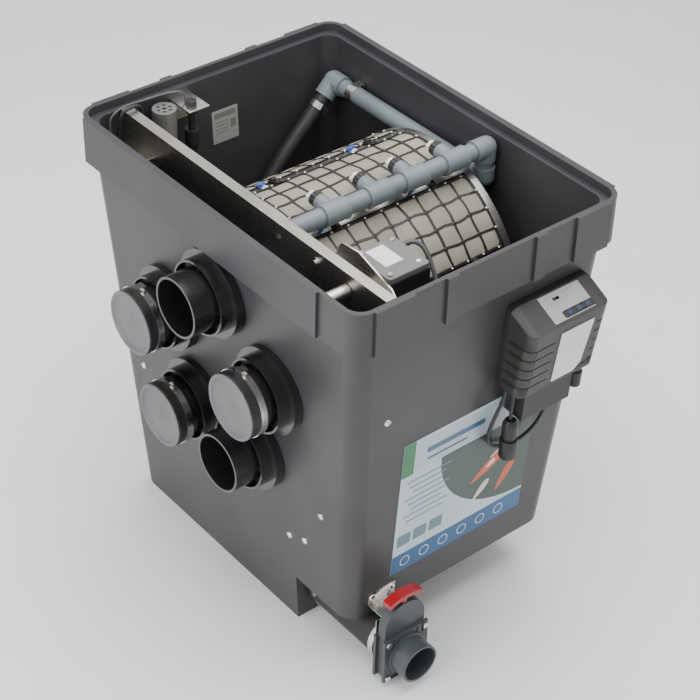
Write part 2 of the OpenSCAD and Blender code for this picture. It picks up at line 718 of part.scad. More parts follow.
// ---- pipe connections ----
module port_flanges() {
    color([0.1, 0.1, 0.11]) difference() {
        for (p = ports) at_port(p) difference() {
            union() {
                tube_x(-14, flange_t, flange_d / 2, 0);
                difference() {
                    tube_x(flange_t, flange_t + collar_len, collar_r, 0);
                    tube_x(flange_t + 4, flange_t + collar_len + 1, collar_r - collar_wall, 0);
                }
                for (k = [0 : 3]) rotate([90 * k, 0, 0])
                    translate([flange_t, -2, neck_r + fit]) cube([collar_len - 3, 4, collar_r - neck_r - 2]);
            }
            tube_x(-20, flange_t + collar_len + 1, neck_r + fit, 0);
        }
        body_solid(0, 0);
    }
}
// Each pipe has a thinner neck where it passes through its flange and the wall
module port_pipes() {
    color([0.1, 0.1, 0.11]) for (p = ports) at_port(p) {
        tube_x(-pipe_in, flange_t + collar_len, neck_r, port_r - port_wall);
        tube_x(flange_t + collar_len, port_len, port_r, port_r - port_wall);
    }
}
module port_caps() {
    color([0.42, 0.43, 0.45]) for (p = ports) if (p[2]) at_port(p) difference() {
        tube_x(port_len - 30, port_len + 6, cap_r, 0);
        tube_x(port_len - 31, port_len + 0.5, port_r + fit, 0);
        tube_x(port_len + 4, port_len + 7, cap_r - 8, 0);
    }
}
// Clamps on the caps, the drain sleeve and the flush hose
module band_clamps() {
    color([0.75, 0.75, 0.72]) {
        for (p = ports) if (p[2]) at_port(p) translate([port_len - 20, 0, 0]) band_clamp(cap_r);
        translate([supply_x - 39, supply_end_y, supply_z - 39]) rotate([0, 135, 0]) band_clamp(hose_d / 2);
        for (y = [-step_y - 18, -valve_back + 18]) translate([-drain_x, y, drain_z]) rotate([0, 150, 0])
            rotate([0, 0, 90]) band_clamp(drain_r + 3);
    }
}

// ---- control unit ----
module control_housing() {
    color([0.2, 0.2, 0.21]) on_front(ctl_x + ctl_w / 2, ctl_z) difference() {
        translate([0, -back_d, 0]) rotate([-90, 0, 0]) translate([0, -(ctl_h - 8) / 2, 0])
            slab(ctl_w, ctl_h - 8, back_d, 12);
        translate([-ctl_w / 2 + 5, -back_d - 1, 5]) cube([ctl_w - 10, back_d - 3, ctl_h - 18]);
    }
}
// Block with a leaning front and a sloping top: width, edge radius, depth in front at the foot and
// at the top edge, heights of the foot, of the front top edge and of the back
module cover_block(w, r, foot_d, top_d, low, front_top, back_top) {
    hull() for (s = [-1, 1]) translate([s * (w / 2 - r), 0, 0]) {
        translate([0, -back_d + 3, low]) cylinder(h = back_top - low, r = 3, $fn = 16);
        translate([s * (r - 1), -back_d, low]) cylinder(h = back_top - low - 6, r = 1, $fn = 16);
        translate([0, -foot_d + r, low]) cylinder(h = 1, r = r, $fn = 32);
        translate([0, -top_d + r, front_top - 1]) cylinder(h = 1, r = r, $fn = 32);
    }
}
module control_cover() {
    color([0.24, 0.23, 0.22]) on_front(ctl_x + ctl_w / 2, ctl_z) difference() {
        intersection() {
            cover_block(ctl_w, 18, ctl_d - front_lean, ctl_d, 0, ctl_h - ctl_drop, ctl_h - 9);
            translate([-ctl_w, -ctl_d - 5, -1]) cube([2 * ctl_w, ctl_d + 5 - back_d, ctl_h + 2]);
        }
        cover_block(ctl_w - 10, 13, ctl_d - front_lean - 5, ctl_d - 5, 5, ctl_h - ctl_drop - 7, ctl_h - 16);
        for (k = [0 : 4], s = [-1, 1])
            translate([s > 0 ? ctl_w / 2 - 1.5 : -ctl_w / 2 - 1, -ctl_d + 26, 16 + 21 * k])
                cube([2.5, ctl_d - 40, 3]);
        on_slope() translate([-panel_w / 2, -panel_l / 2, -panel_t]) cube([panel_w, panel_l, 10]);
        for (k = [-1 : 1]) on_slope() at_button(k) translate([-7, -6, -panel_t - 7 - button_travel])
            cube([14, 12, 8 + button_travel]);
        on_slope() translate([-24, 10, -panel_t - 8]) cube([20, 8, 9]);
    }
}
// Children on the sloping face: +X right, +Y up the slope, +Z out of the face
module on_slope() {
    mid = (slope_back + slope_front) / 2;
    translate([12, mid[0] + 2, mid[1] + 2 * tan(slope_a)]) rotate([slope_a, 0, 0]) children();
}
// Children at a push button, k = -1, 0, 1
module at_button(k) {
    translate([k * button_pitch + 14, -18, 0]) children();
}
module display_panel() {
    color([0.78, 0.8, 0.82]) on_front(ctl_x + ctl_w / 2, ctl_z) on_slope() difference() {
        translate([-panel_w / 2 + fit, -panel_l / 2 + fit, -panel_t])
            cube([panel_w - 2 * fit, panel_l - 2 * fit, panel_t]);
        for (k = [-1 : 1]) at_button(k) translate([-5.3, -4.3, -panel_t - 1]) cube([10.6, 8.6, 4]);
        translate([-20, 11.5, -panel_t - 1]) cube([14, 5, 4]);
    }
}
module push_button(k) {
    color([0.15, 0.2, 0.35]) on_front(ctl_x + ctl_w / 2, ctl_z) on_slope() at_button(k)
        translate([-5, -4, -panel_t - 1]) cube([10, 8, panel_t + 2.2]);
}
module button_left() {
    push_button(-1);
}
module button_middle() {
    push_button(0);
}
module button_right() {
    push_button(1);
}
module mode_switch() {
    color([0.2, 0.2, 0.2]) on_front(ctl_x + ctl_w / 2, ctl_z) on_slope()
        translate([-19.5, 12, -panel_t - 1]) cube([6, 4, panel_t + 3]);
}
module trim_plate() {
    color([0.75, 0.78, 0.82]) on_front(ctl_x + ctl_w / 2, ctl_z) translate([16, -ctl_d + front_lean, 0])
        rotate([lean_a, 0, 0]) translate([0, 0, 10]) rotate([90, 0, 0]) linear_extrude(2)
            polygon([[-34, 0], [16, 0], [30, 14], [37, 112], [-38, 112]]);
}
module junction_box() {
    color([0.14, 0.14, 0.15]) on_front(132, ctl_z) {
        translate([-56, -45, -72]) cube([112, 43.8, 72]);
        translate([69, -40, -20]) cylinder(h = 20, r = 8);
        translate([69, -40, -52]) cylinder(h = 32, r = 11, $fn = 24);
    }
}
module connector() {
    color([0.08, 0.08, 0.08]) translate([67, -379, 0]) {
        translate([0, 0, 418]) cylinder(h = 34, r = 14);
        translate([0, 0, 410]) cylinder(h = 8, r = 12);
        translate([0, 0, 372]) cylinder(h = 38, r = 16);
    }
}
module connector_lead() {
    color([0.08, 0.08, 0.08]) sweep(lead_route, cable_d);
}
module control_cable() {
    color([0.08, 0.08, 0.08]) sweep(control_route, cable_d);
}

// ---- drain ----
module drain_sleeve() {
    color([0.12, 0.12, 0.13]) translate([-drain_x, 0, drain_z]) {
        tube_y(-valve_back + 2, -step_y - 0.3, drain_r + 3, drain_r);
        tube_y(-step_y - 40, -step_y + wall_t + 8, drain_r, drain_r - 4);
    }
}
module valve_body() {
    color([0.28, 0.3, 0.32]) translate([-drain_x, 0, drain_z]) {
        for (y = [-valve_y, -valve_back - plate_t]) difference() {
            translate([-valve_w / 2, y, -valve_w / 2]) cube([valve_w, plate_t, valve_w]);
            tube_y(y - 1, y + plate_t + 1, drain_r - 4, 0);
            for (sx = [-1, 1], sz = [-1, 1]) translate([sx * (valve_w / 2 - 8), 0, sz * (valve_w / 2 - 8)])
                tube_y(y - 1, y + plate_t + 1, 3.2, 0);
        }
        difference() {
            translate([-valve_w / 2 + 6, -valve_y + plate_t, -valve_w / 2 + 4])
                cube([valve_w - 12, valve_y - valve_back - 2 * plate_t, valve_w - 4]);
            tube_y(-valve_y, -valve_back, drain_r - 4, 0);
            translate([-drain_r - 4, -valve_mid - gate_t / 2 - gap, -drain_r - 4])
                cube([2 * drain_r + 8, gate_t + 2 * gap, valve_w]);
            translate([0, -valve_mid, 20]) cylinder(h = valve_w, r = 4 + gap);
        }
        tube_y(-valve_y - 38, -valve_y, drain_r, drain_r - 4);
        tube_y(-valve_back, -valve_back + 34, drain_r - 0.3, drain_r - 4);
    }
}
module valve_bonnet() {
    color([0.28, 0.3, 0.32]) translate([-drain_x, -valve_mid, drain_z + valve_w / 2]) difference() {
        union() {
            translate([-drain_r - 7, -9, 0]) cube([2 * drain_r + 14, 18, bonnet_h]);
            translate([0, 0, bonnet_h]) tube_y(-9, 9, drain_r + 7, 0);
        }
        translate([-100, -20, -100]) cube([200, 40, 100]);
        translate([-drain_r - 4, -gate_t / 2 - gap, -1])
            cube([2 * drain_r + 8, gate_t + 2 * gap, bonnet_h + 1]);
        translate([0, 0, bonnet_h]) tube_y(-gate_t / 2 - gap, gate_t / 2 + gap, drain_r + 4, 0);
        cylinder(h = 120, r = 4 + gap);
    }
}
module valve_gate() {
    color([0.75, 0.75, 0.75]) translate([-drain_x, -valve_mid, drain_z]) {
        tube_y(-gate_t / 2, gate_t / 2, drain_r + 0.5, 0);
        translate([0, 0, 30]) cylinder(h = handle_z - 30, r = 4);
    }
}
module valve_handle() {
    color([0.78, 0.1, 0.15]) translate([-drain_x, -valve_mid, drain_z + handle_z]) difference() {
        union() {
            translate([0, 0, -82]) intersection() {
                tube_y(-10, 10, 92, 84);
                translate([-36, -20, 0]) cube([72, 40, 120]);
            }
            translate([0, 0, -8]) cylinder(h = 12, r = 8);
        }
        translate([0, 0, -10]) cylinder(h = 10, r = 4 + fit);
    }
}
module valve_bolts() {
    color([0.82, 0.82, 0.8]) for (sx = [-1, 1], sz = [-1, 1])
        translate([-drain_x + sx * (valve_w / 2 - 8), 0, drain_z + sz * (valve_w / 2 - 8)]) {
            tube_y(-valve_y - 4, -valve_y, 5.5, 0);
            tube_y(-valve_y - 0.1, -valve_y + plate_t, 3, 0);
        }
}
module valve_bracket() {
    z0 = step_h + 10;
    color([0.78, 0.77, 0.74]) {
        difference() {
            translate([-drain_x - 44, -valve_back, 12]) cube([88, 2, z0 + 20 - 12]);
            translate([-drain_x, 0, drain_z]) tube_y(-valve_back - 1, -valve_back + 3, drain_r + 1, 0);
        }
        translate([-drain_x - 30, -valve_back, z0 + 18]) cube([60, valve_back - wall_y(z0 + 19) - 1, 2]);
        on_front(-drain_x, z0 + 19.5) translate([-30, -2, 0]) cube([60, 2, 26]);
    }
}

// ---- labels and screws ----
module front_label() {
    color([0.72, 0.78, 0.8]) on_front(4, 177) translate([-152, -1, 0]) cube([304, 1, 308]);
}
module dome_screw() {
    intersection() {
        translate([3, 0, 0]) sphere(7, $fn = 32);
        translate([-10, -10, -10]) cube([10, 20, 20]);
    }
}
module wall_screws() {
    color([0.8, 0.8, 0.78]) {
        for (q = [[268, 316], [-165, 203], [-209, 222], [-259, 318]]) on_side(q[0], q[1]) dome_screw();
        on_front(-192, 561) rotate([0, 0, 90]) dome_screw();
        for (x = [-22, 22]) on_front(-drain_x + x, step_h + 44) translate([0, -2, 0])
            rotate([0, 0, 90]) dome_screw();
    }
}

tank();
partition();
partition_bolts();
spacer_tube();
inlet_tray();
drum_frame();
drum_gear();
screen_panels();
screen_grids();
panel_clips();
panel_latches();
rear_bearing();
drum_seal();
support_roller_front();
support_roller_back();
roller_mounts();
drive_pinion();
gear_motor();
motor_cover();
motor_bracket();
spray_bar();
spray_nozzles();
supply_pipe();
pipe_straps();
flush_hose();
band_clamps();
flush_pump();
level_sensor();
sensor_bracket();
float_stem();
float();
waste_trough();
info_plate();
port_flanges();
port_pipes();
port_caps();
control_housing();
control_cover();
display_panel();
button_left();
button_middle();
button_right();
mode_switch();
trim_plate();
junction_box();
connector();
connector_lead();
control_cable();
motor_cable();
sensor_cable();
pump_cable();
drain_sleeve();
valve_body();
valve_bonnet();
valve_gate();
valve_handle();
valve_bolts();
valve_bracket();
front_label();
wall_screws();
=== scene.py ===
"""Open drum filter for a garden pond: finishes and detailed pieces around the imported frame."""

import json
import logging
import math
from dataclasses import dataclass
from enum import Enum
from typing import Callable, Sequence

import bmesh
import bpy
from mathutils import Matrix, Vector, noise

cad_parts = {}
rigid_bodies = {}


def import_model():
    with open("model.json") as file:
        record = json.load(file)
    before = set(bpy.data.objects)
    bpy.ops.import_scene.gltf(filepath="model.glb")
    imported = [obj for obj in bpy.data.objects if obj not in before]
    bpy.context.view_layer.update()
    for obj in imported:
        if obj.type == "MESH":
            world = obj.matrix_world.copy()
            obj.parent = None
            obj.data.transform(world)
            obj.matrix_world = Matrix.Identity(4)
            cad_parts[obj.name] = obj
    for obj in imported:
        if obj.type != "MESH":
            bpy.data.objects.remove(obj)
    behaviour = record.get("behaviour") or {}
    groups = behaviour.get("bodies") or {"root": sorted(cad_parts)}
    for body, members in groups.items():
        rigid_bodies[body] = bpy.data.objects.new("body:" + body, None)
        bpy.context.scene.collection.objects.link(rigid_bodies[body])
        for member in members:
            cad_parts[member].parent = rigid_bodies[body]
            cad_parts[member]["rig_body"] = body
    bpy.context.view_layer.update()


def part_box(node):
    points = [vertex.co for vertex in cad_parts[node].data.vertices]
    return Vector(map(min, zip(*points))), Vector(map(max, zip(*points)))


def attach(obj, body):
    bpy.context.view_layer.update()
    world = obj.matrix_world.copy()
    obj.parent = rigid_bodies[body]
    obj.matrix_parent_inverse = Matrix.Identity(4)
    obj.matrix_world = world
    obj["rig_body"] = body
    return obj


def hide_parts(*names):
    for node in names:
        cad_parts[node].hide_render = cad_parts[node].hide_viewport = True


LOG = logging.getLogger("drum_filter")
MM = 0.001
SHARP = math.radians(34)
TURN_STEPS = 48
Point = Sequence[float]
Outline = list[tuple[float, float]]
Colour = tuple[float, float, float]
BMesh = bmesh.types.BMesh
Piece = bpy.types.Object
Tree = bpy.types.NodeTree
Socket = bpy.types.NodeSocket


class Grain(Enum):
    """How the surface of a finish is broken up."""

    MOULDED = "moulded"
    BRUSHED = "brushed"
    WOVEN = "woven"


@dataclass(frozen=True)
class Finish:
    """One finish: its colours, its gloss and the grain of its surface."""

    name: str
    colour: Colour
    shade: Colour
    roughness: float
    spread: float = 0.07
    metallic: float = 0.0
    grain: Grain = Grain.MOULDED
    pitch: float = 0.0012
    bump: float = 0.12
    coat: float = 0.0
    along: tuple[float, float, float] = (1.0, 1.0, 1.0)

    def material(self) -> bpy.types.Material:
        """Builds the finish as a node material, once.

        Returns:
            The material, shared by every piece of this finish.
        """
        name = f"{self.name}_finish"
        found = bpy.data.materials.get(name)
        if found:
            return found
        made = bpy.data.materials.new(name)
        made.use_nodes = True
        tree = made.node_tree
        shader = tree.nodes["Principled BSDF"]
        shader.inputs["Metallic"].default_value = self.metallic
        shader.inputs["Coat Weight"].default_value = self.coat
        shader.inputs["Coat Roughness"].default_value = 0.12
        where = tree.nodes.new("ShaderNodeTexCoord").outputs["Object"]
        cloud = self._noise(tree, where, 7.0, 3.0, (1.0, 1.0, 1.0))
        mix = tree.nodes.new("ShaderNodeMix")
        mix.data_type = "RGBA"
        mix.inputs["A"].default_value = (*self.colour, 1.0)
        mix.inputs["B"].default_value = (*self.shade, 1.0)
        tree.links.new(self._range(tree, cloud, (0.35, 0.68), (0.0, 1.0)), mix.inputs["Factor"])
        tree.links.new(mix.outputs["Result"], shader.inputs["Base Color"])
        fine = self._fine(tree, where)
        gloss = (self.roughness - self.spread, self.roughness + self.spread)
        tree.links.new(self._range(tree, fine, (0.25, 0.75), gloss), shader.inputs["Roughness"])
        bump = tree.nodes.new("ShaderNodeBump")
        bump.inputs["Strength"].default_value = self.bump
        bump.inputs["Distance"].default_value = self.pitch * 0.3
        tree.links.new(fine, bump.inputs["Height"])
        tree.links.new(bump.outputs["Normal"], shader.inputs["Normal"])
        return made

    def _fine(self, tree: Tree, where: Socket) -> Socket:
        """The fine pattern of the grain, from 0 to 1.

        Args:
            tree: The material's nodes.
            where: The coordinates that the pattern follows.

        Returns:
            The socket that carries the pattern.
        """
        if self.grain is not Grain.WOVEN:
            return self._noise(tree, where, 1.0 / self.pitch, 4.0, self.along)
        threads = []
        for direction in ("X", "Y"):
            wave = tree.nodes.new("ShaderNodeTexWave")
            wave.bands_direction = direction
            wave.inputs["Scale"].default_value = 0.314 / self.pitch
            wave.inputs["Distortion"].default_value = 1.2
            uv = tree.nodes.new("ShaderNodeUVMap")
            uv.uv_map = "weave"
            tree.links.new(uv.outputs["UV"], wave.inputs["Vector"])
            threads.append(wave.outputs["Fac"])
        both = tree.nodes.new("ShaderNodeMath")
        both.operation = "MAXIMUM"
        tree.links.new(threads[0], both.inputs[0])
        tree.links.new(threads[1], both.inputs[1])
        return both.outputs[0]

    @staticmethod
    def _noise(tree: Tree, where: Socket, scale: float, detail: float, along: Point) -> Socket:
        """A noise pattern, stretched along an axis where its number is small.

        Args:
            tree: The material's nodes.
            where: The coordinates.
            scale: How many spots a metre holds.
            detail: How many finer layers it has.
            along: The share of the scale along each axis.

        Returns:
            The noise's value.
        """
        place = tree.nodes.new("ShaderNodeMapping")
        place.inputs["Scale"].default_value = along
        spots = tree.nodes.new("ShaderNodeTexNoise")
        spots.inputs["Scale"].default_value = scale
        spots.inputs["Detail"].default_value = detail
        tree.links.new(where, place.inputs["Vector"])
        tree.links.new(place.outputs["Vector"], spots.inputs["Vector"])
        return spots.outputs["Fac"]

    @staticmethod
    def _range(tree: Tree, value: Socket, taken: tuple[float, float], given: tuple[float, float]) -> Socket:
        """Spreads a value from one range to another.

        Args:
            tree: The material's nodes.
            value: The value.
            taken: The lowest and highest value taken.
            given: What they become.

        Returns:
            The spread value.
        """
        node = tree.nodes.new("ShaderNodeMapRange")
        for name, number in zip(("From Min", "From Max", "To Min", "To Max"), (*taken, *given)):
            node.inputs[name].default_value = number
        tree.links.new(value, node.inputs["Value"])
        return node.outputs["Result"]


BRUSH_X = (0.02, 1.0, 1.0)
BRUSH_Y = (1.0, 0.02, 1.0)
BRUSHED = Grain.BRUSHED
TANK = Finish("tank_plastic", (0.036, 0.034, 0.038), (0.047, 0.044, 0.05), 0.42, 0.06, pitch=0.0009, bump=0.1)
STEEL = Finish(
    "stainless", (0.52, 0.5, 0.46), (0.66, 0.635, 0.59), 0.3, 0.1, 1.0, BRUSHED, 0.0007, 0.1, along=BRUSH_Y
)
DRUM_STEEL = Finish(
    "drum_steel", (0.46, 0.445, 0.41), (0.58, 0.565, 0.53), 0.3, 0.09, 1, BRUSHED, 0.0007, 0.08, 0, BRUSH_X
)
BRIGHT = Finish("bright_steel", (0.72, 0.7, 0.66), (0.84, 0.83, 0.8), 0.22, 0.08, 1.0, BRUSHED, 0.0006, 0.06)
MESH = Finish(
    "screen_mesh", (0.26, 0.238, 0.192), (0.37, 0.34, 0.28), 0.62, 0.12, 0.0, Grain.WOVEN, 0.0011, 0.45
)
BLACK = Finish("black_plastic", (0.012, 0.012, 0.012), (0.02, 0.02, 0.02), 0.42)
DARK = Finish("dark_plastic", (0.013, 0.013, 0.014), (0.021, 0.021, 0.022), 0.50)
WHITE = Finish("white_plastic", (0.88, 0.88, 0.85), (0.80, 0.80, 0.77), 0.45)
BLUE = Finish("blue_plastic", (0.04, 0.11, 0.42), (0.06, 0.15, 0.5), 0.35)
RUBBER = Finish("rubber", (0.018, 0.018, 0.018), (0.028, 0.027, 0.027), 0.62, bump=0.2)
MOTOR = Finish("motor_grey", (0.15, 0.15, 0.15), (0.19, 0.19, 0.185), 0.42)
PVC = Finish("grey_pvc", (0.14, 0.165, 0.183), (0.185, 0.212, 0.232), 0.36, bump=0.06)
HOSE = Finish("hose_rubber", (0.022, 0.022, 0.023), (0.034, 0.033, 0.033), 0.36, bump=0.15)
SENSOR = Finish("sensor_grey", (0.16, 0.155, 0.15), (0.21, 0.205, 0.2), 0.40, metallic=0.35)
PLATE = Finish(
    "plate_metal", (0.42, 0.42, 0.4), (0.5, 0.5, 0.48), 0.42, 0.08, 0.5, BRUSHED, 0.0008, 0.06, along=BRUSH_X
)
PIPE = Finish("pipe_plastic", (0.01, 0.01, 0.011), (0.016, 0.016, 0.018), 0.22, 0.06, bump=0.05, coat=0.5)
CAP = Finish("cap_grey", (0.115, 0.12, 0.128), (0.15, 0.155, 0.165), 0.46, pitch=0.0015, bump=0.12)
HOUSING = Finish(
    "housing_plastic", (0.029, 0.0265, 0.024), (0.038, 0.035, 0.032), 0.47, pitch=0.0008, bump=0.22
)
SILVER = Finish(
    "panel_silver", (0.36, 0.37, 0.37), (0.42, 0.43, 0.43), 0.40, metallic=0.25, pitch=0.0006, bump=0.05
)
TRIM = Finish("trim_silver", (0.68, 0.71, 0.76), (0.75, 0.78, 0.83), 0.40, metallic=0.15, bump=0.04)
KEYS = Finish("button_blue", (0.02, 0.035, 0.1), (0.03, 0.05, 0.13), 0.40)
CABLE = Finish("cable_rubber", (0.014, 0.014, 0.014), (0.022, 0.022, 0.022), 0.42)
GREY_CABLE = Finish("cable_grey", (0.075, 0.075, 0.08), (0.1, 0.1, 0.105), 0.45)
VALVE = Finish("valve_plastic", (0.042, 0.05, 0.056), (0.06, 0.07, 0.076), 0.38, pitch=0.0014, bump=0.12)
RED = Finish("red_plastic", (0.32, 0.004, 0.008), (0.42, 0.008, 0.014), 0.28, bump=0.04, coat=0.3)
FILM = Finish("label_film", (0.50, 0.59, 0.65), (0.57, 0.665, 0.72), 0.33, bump=0.03)


def film(name: str, colour: Colour) -> Finish:
    """A printed area of the label in one ink, a little uneven as ink is.

    Args:
        name: What the area is.
        colour: The ink's colour.

    Returns:
        The finish.
    """
    red, green, blue = (channel * 0.86 for channel in colour)
    return Finish(f"ink_{name}", colour, (red, green, blue), 0.33, bump=0.03)


# ---- making pieces ----
def add_piece(
    name: str,
    mesh: BMesh,
    finish: Finish,
    body: str = "root",
    stands_for: Sequence[str] = (),
    sharp: float = SHARP,
) -> Piece:
    """Makes a finished piece from a bmesh and puts it on its body.

    Args:
        name: The piece's name.
        mesh: Its shape, in metres, in the row frame. It is freed.
        finish: Its finish.
        body: The CAD body that it rides on.
        stands_for: The CAD nodes that it replaces.
        sharp: The angle past which an edge stays sharp.

    Returns:
        The piece.
    """
    data = bpy.data.meshes.new(name)
    mesh.to_mesh(data)
    mesh.free()
    data.shade_smooth()
    data.set_sharp_from_angle(angle=sharp)
    piece = link(bpy.data.objects.new(name, data))
    data.materials.append(finish.material())
    return settle(piece, body, stands_for)


def settle(piece: Piece, body: str, stands_for: Sequence[str]) -> Piece:
    """Puts a piece on its body and hides the CAD nodes that it stands for.

    Args:
        piece: The piece.
        body: The CAD body.
        stands_for: The CAD nodes that it replaces.

    Returns:
        The piece.
    """
    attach(piece, body)
    if stands_for:
        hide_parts(*stands_for)
    return piece


class Shape:
    """A mesh in the making, put together from parts."""

    def __init__(self) -> None:
        """Starts with nothing in it."""
        self.mesh = bmesh.new()

    def lay(self, part: BMesh, *places: Matrix) -> "Shape":
        """Copies a part into the shape, once for each place.

        Args:
            part: The part. It is freed.
            places: Where each copy goes; none means as it is.

        Returns:
            The shape, so that calls can be chained.
        """
        for place in places or (Matrix.Identity(4),):
            copy = part.copy()
            copy.transform(place)
            data = bpy.data.meshes.new("part")
            copy.to_mesh(data)
            self.mesh.from_mesh(data)
            copy.free()
            bpy.data.meshes.remove(data)
        part.free()
        return self


def shift(x: float, y: float, z: float) -> Matrix:
    """A move by x, y and z metres."""
    return Matrix.Translation((x, y, z))


def turn(degrees: float, axis: str) -> Matrix:
    """A turn about one of the axes."""
    return Matrix.Rotation(math.radians(degrees), 4, axis)


def link(thing: Piece) -> Piece:
    """Puts an object into the scene."""
    bpy.context.scene.collection.objects.link(thing)
    return thing


def bevel(part: BMesh, geom: Sequence, offset: float, segments: int, affect: str = "EDGES") -> None:
    """Rounds edges, or cuts corners where affect is VERTICES.

    Args:
        part: The mesh.
        geom: What to round.
        offset: The width of the rounding.
        segments: Its segments.
        affect: EDGES or VERTICES.
    """
    bmesh.ops.bevel(
        part, geom=geom, offset=offset, segments=segments, profile=0.5, affect=affect, material=-1
    )


def block(size: Point, edge: float = 0.0, centre: Point = (0.0, 0.0, 0.0), rounds: int = 3) -> BMesh:
    """A block with rounded edges.

    Args:
        size: Its lengths.
        edge: The radius of its edges.
        centre: Its centre.
        rounds: The segments of each rounded edge.

    Returns:
        The block.
    """
    part = bmesh.new()
    bmesh.ops.create_cube(part, size=1.0)
    bmesh.ops.scale(part, vec=size, verts=part.verts)
    if edge > 0:
        bevel(part, part.edges[:], edge, rounds)
    bmesh.ops.translate(part, vec=centre, verts=part.verts)
    return part


def turned(outline: Sequence[tuple[float, float]], steps: int = TURN_STEPS) -> BMesh:
    """A body of revolution about Z.

    Args:
        outline: Points as radius and height.
        steps: Steps round the axis.

    Returns:
        The turned body, with its faces outwards.
    """
    part = bmesh.new()
    points = [part.verts.new((radius, 0.0, height)) for radius, height in outline]
    lines = [part.edges.new(pair) for pair in zip(points, points[1:])]
    bmesh.ops.spin(
        part,
        geom=points + lines,
        cent=(0, 0, 0),
        axis=(0, 0, 1),
        angle=2 * math.pi,
        steps=steps,
        use_merge=True,
    )
    bmesh.ops.remove_doubles(part, verts=part.verts, dist=1e-6)
    bmesh.ops.recalc_face_normals(part, faces=part.faces)
    return part


def fluted(part: BMesh, reach: float, every: int, wide: int, share: float) -> BMesh:
    """Draws in flutes round a body turned in TURN_STEPS steps.

    Args:
        part: The body.
        reach: The radius past which a flute draws in.
        every: The steps from one flute to the next.
        wide: The steps that a flute takes up.
        share: The share of the radius that is left in a flute.

    Returns:
        The same body.
    """
    for vertex in part.verts:
        step = round(math.atan2(vertex.co.y, vertex.co.x) / (2 * math.pi / TURN_STEPS))
        if math.hypot(vertex.co.x, vertex.co.y) > reach and step % every < wide:
            vertex.co.x *= share
            vertex.co.y *= share
    return part


def sheet_of(outline: Sequence[Point], thickness: float) -> BMesh:
    """A flat plate cut to an outline in its own X and Z, its front at y 0 facing -Y.

    Args:
        outline: Points as x and z.
        thickness: How thick it is, towards -Y.

    Returns:
        The plate.
    """
    part = bmesh.new()
    face = part.faces.new([part.verts.new((x, 0.0, z)) for x, z in outline])
    grown = bmesh.ops.extrude_face_region(part, geom=[face])
    risen = [item for item in grown["geom"] if isinstance(item, bmesh.types.BMVert)]
    bmesh.ops.translate(part, vec=(0, -thickness, 0), verts=risen)
    bmesh.ops.recalc_face_normals(part, faces=part.faces)
    return part


def rounded(wide: float, high: float, radius: float, steps: int = 5) -> Outline:
    """The outline of a rectangle with round corners, about its middle.

    Args:
        wide: Its width.
        high: Its height.
        radius: The corners' radius.
        steps: The steps of each corner.

    Returns:
        The outline's points.
    """
    points = []
    for quarter in range(4):
        corner_x = (wide / 2 - radius) * (1 if quarter in (0, 3) else -1)
        corner_z = (high / 2 - radius) * (1 if quarter in (0, 1) else -1)
        for step in range(steps + 1):
            angle = math.pi / 2 * (quarter + step / steps)
            points.append((corner_x + radius * math.cos(angle), corner_z + radius * math.sin(angle)))
    return points


def moved_to(outline: Sequence[Point], x: float, z: float) -> Outline:
    """An outline moved by x and z."""
    return [(point[0] + x, point[1] + z) for point in outline]


def area(x0: float, z0: float, x1: float, z1: float) -> Outline:
    """The outline of a rectangle between two corners."""
    return [(x0, z0), (x1, z0), (x1, z1), (x0, z1)]


def blob(x: float, z: float, long: float, high: float, tilt: float, steps: int = 20) -> Outline:
    """The outline of a leaf shape that is wide in front and narrow behind.

    Args:
        x: Its middle along X.
        z: Its middle along Z.
        long: Its length.
        high: Its height.
        tilt: Its tilt in degrees.
        steps: The points round it.

    Returns:
        The outline's points.
    """
    points = []
    lean = math.radians(tilt)
    for step in range(steps):
        angle = 2 * math.pi * step / steps
        along = math.cos(angle) * long / 2
        across = math.sin(angle) * high / 2 * (1.0 + 0.55 * math.cos(angle)) / 1.25
        rise = along * math.sin(lean) + across * math.cos(lean)
        points.append((x + along * math.cos(lean) - across * math.sin(lean), z + rise))
    return points


def softened(node: str, finish: Finish, edge: float = 0.0006, steps: int = 2) -> Piece:
    """A copy of a CAD node with its sharp edges rounded, standing for the node.

    Args:
        node: The CAD node.
        finish: Its finish.
        edge: The width of the rounding.
        steps: The segments of the rounding.

    Returns:
        The piece.
    """
    source = bpy.data.objects[node]
    copy = bmesh.new()
    copy.from_mesh(source.data)
    bmesh.ops.remove_doubles(copy, verts=copy.verts, dist=2e-6)
    bmesh.ops.dissolve_limit(copy, angle_limit=math.radians(0.4), verts=copy.verts, edges=copy.edges)
    corners = [line for line in copy.edges if line.is_manifold and line.calc_face_angle(0.0) > SHARP]
    bmesh.ops.bevel(
        copy,
        geom=corners,
        offset=edge,
        segments=steps,
        profile=0.5,
        affect="EDGES",
        clamp_overlap=True,
        material=-1,
    )
    piece = add_piece(f"{node}_finished", copy, finish, source["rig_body"], [node])
    even = piece.modifiers.new("even_normals", "WEIGHTED_NORMAL")
    even.keep_sharp = True
    return piece


def dress(node: str, finish: Finish) -> None:
    """Gives a CAD node its finish, as it is.

    Args:
        node: The CAD node.
        finish: Its finish.
    """
    piece = bpy.data.objects[node]
    piece.data.materials.clear()
    piece.data.materials.append(finish.material())


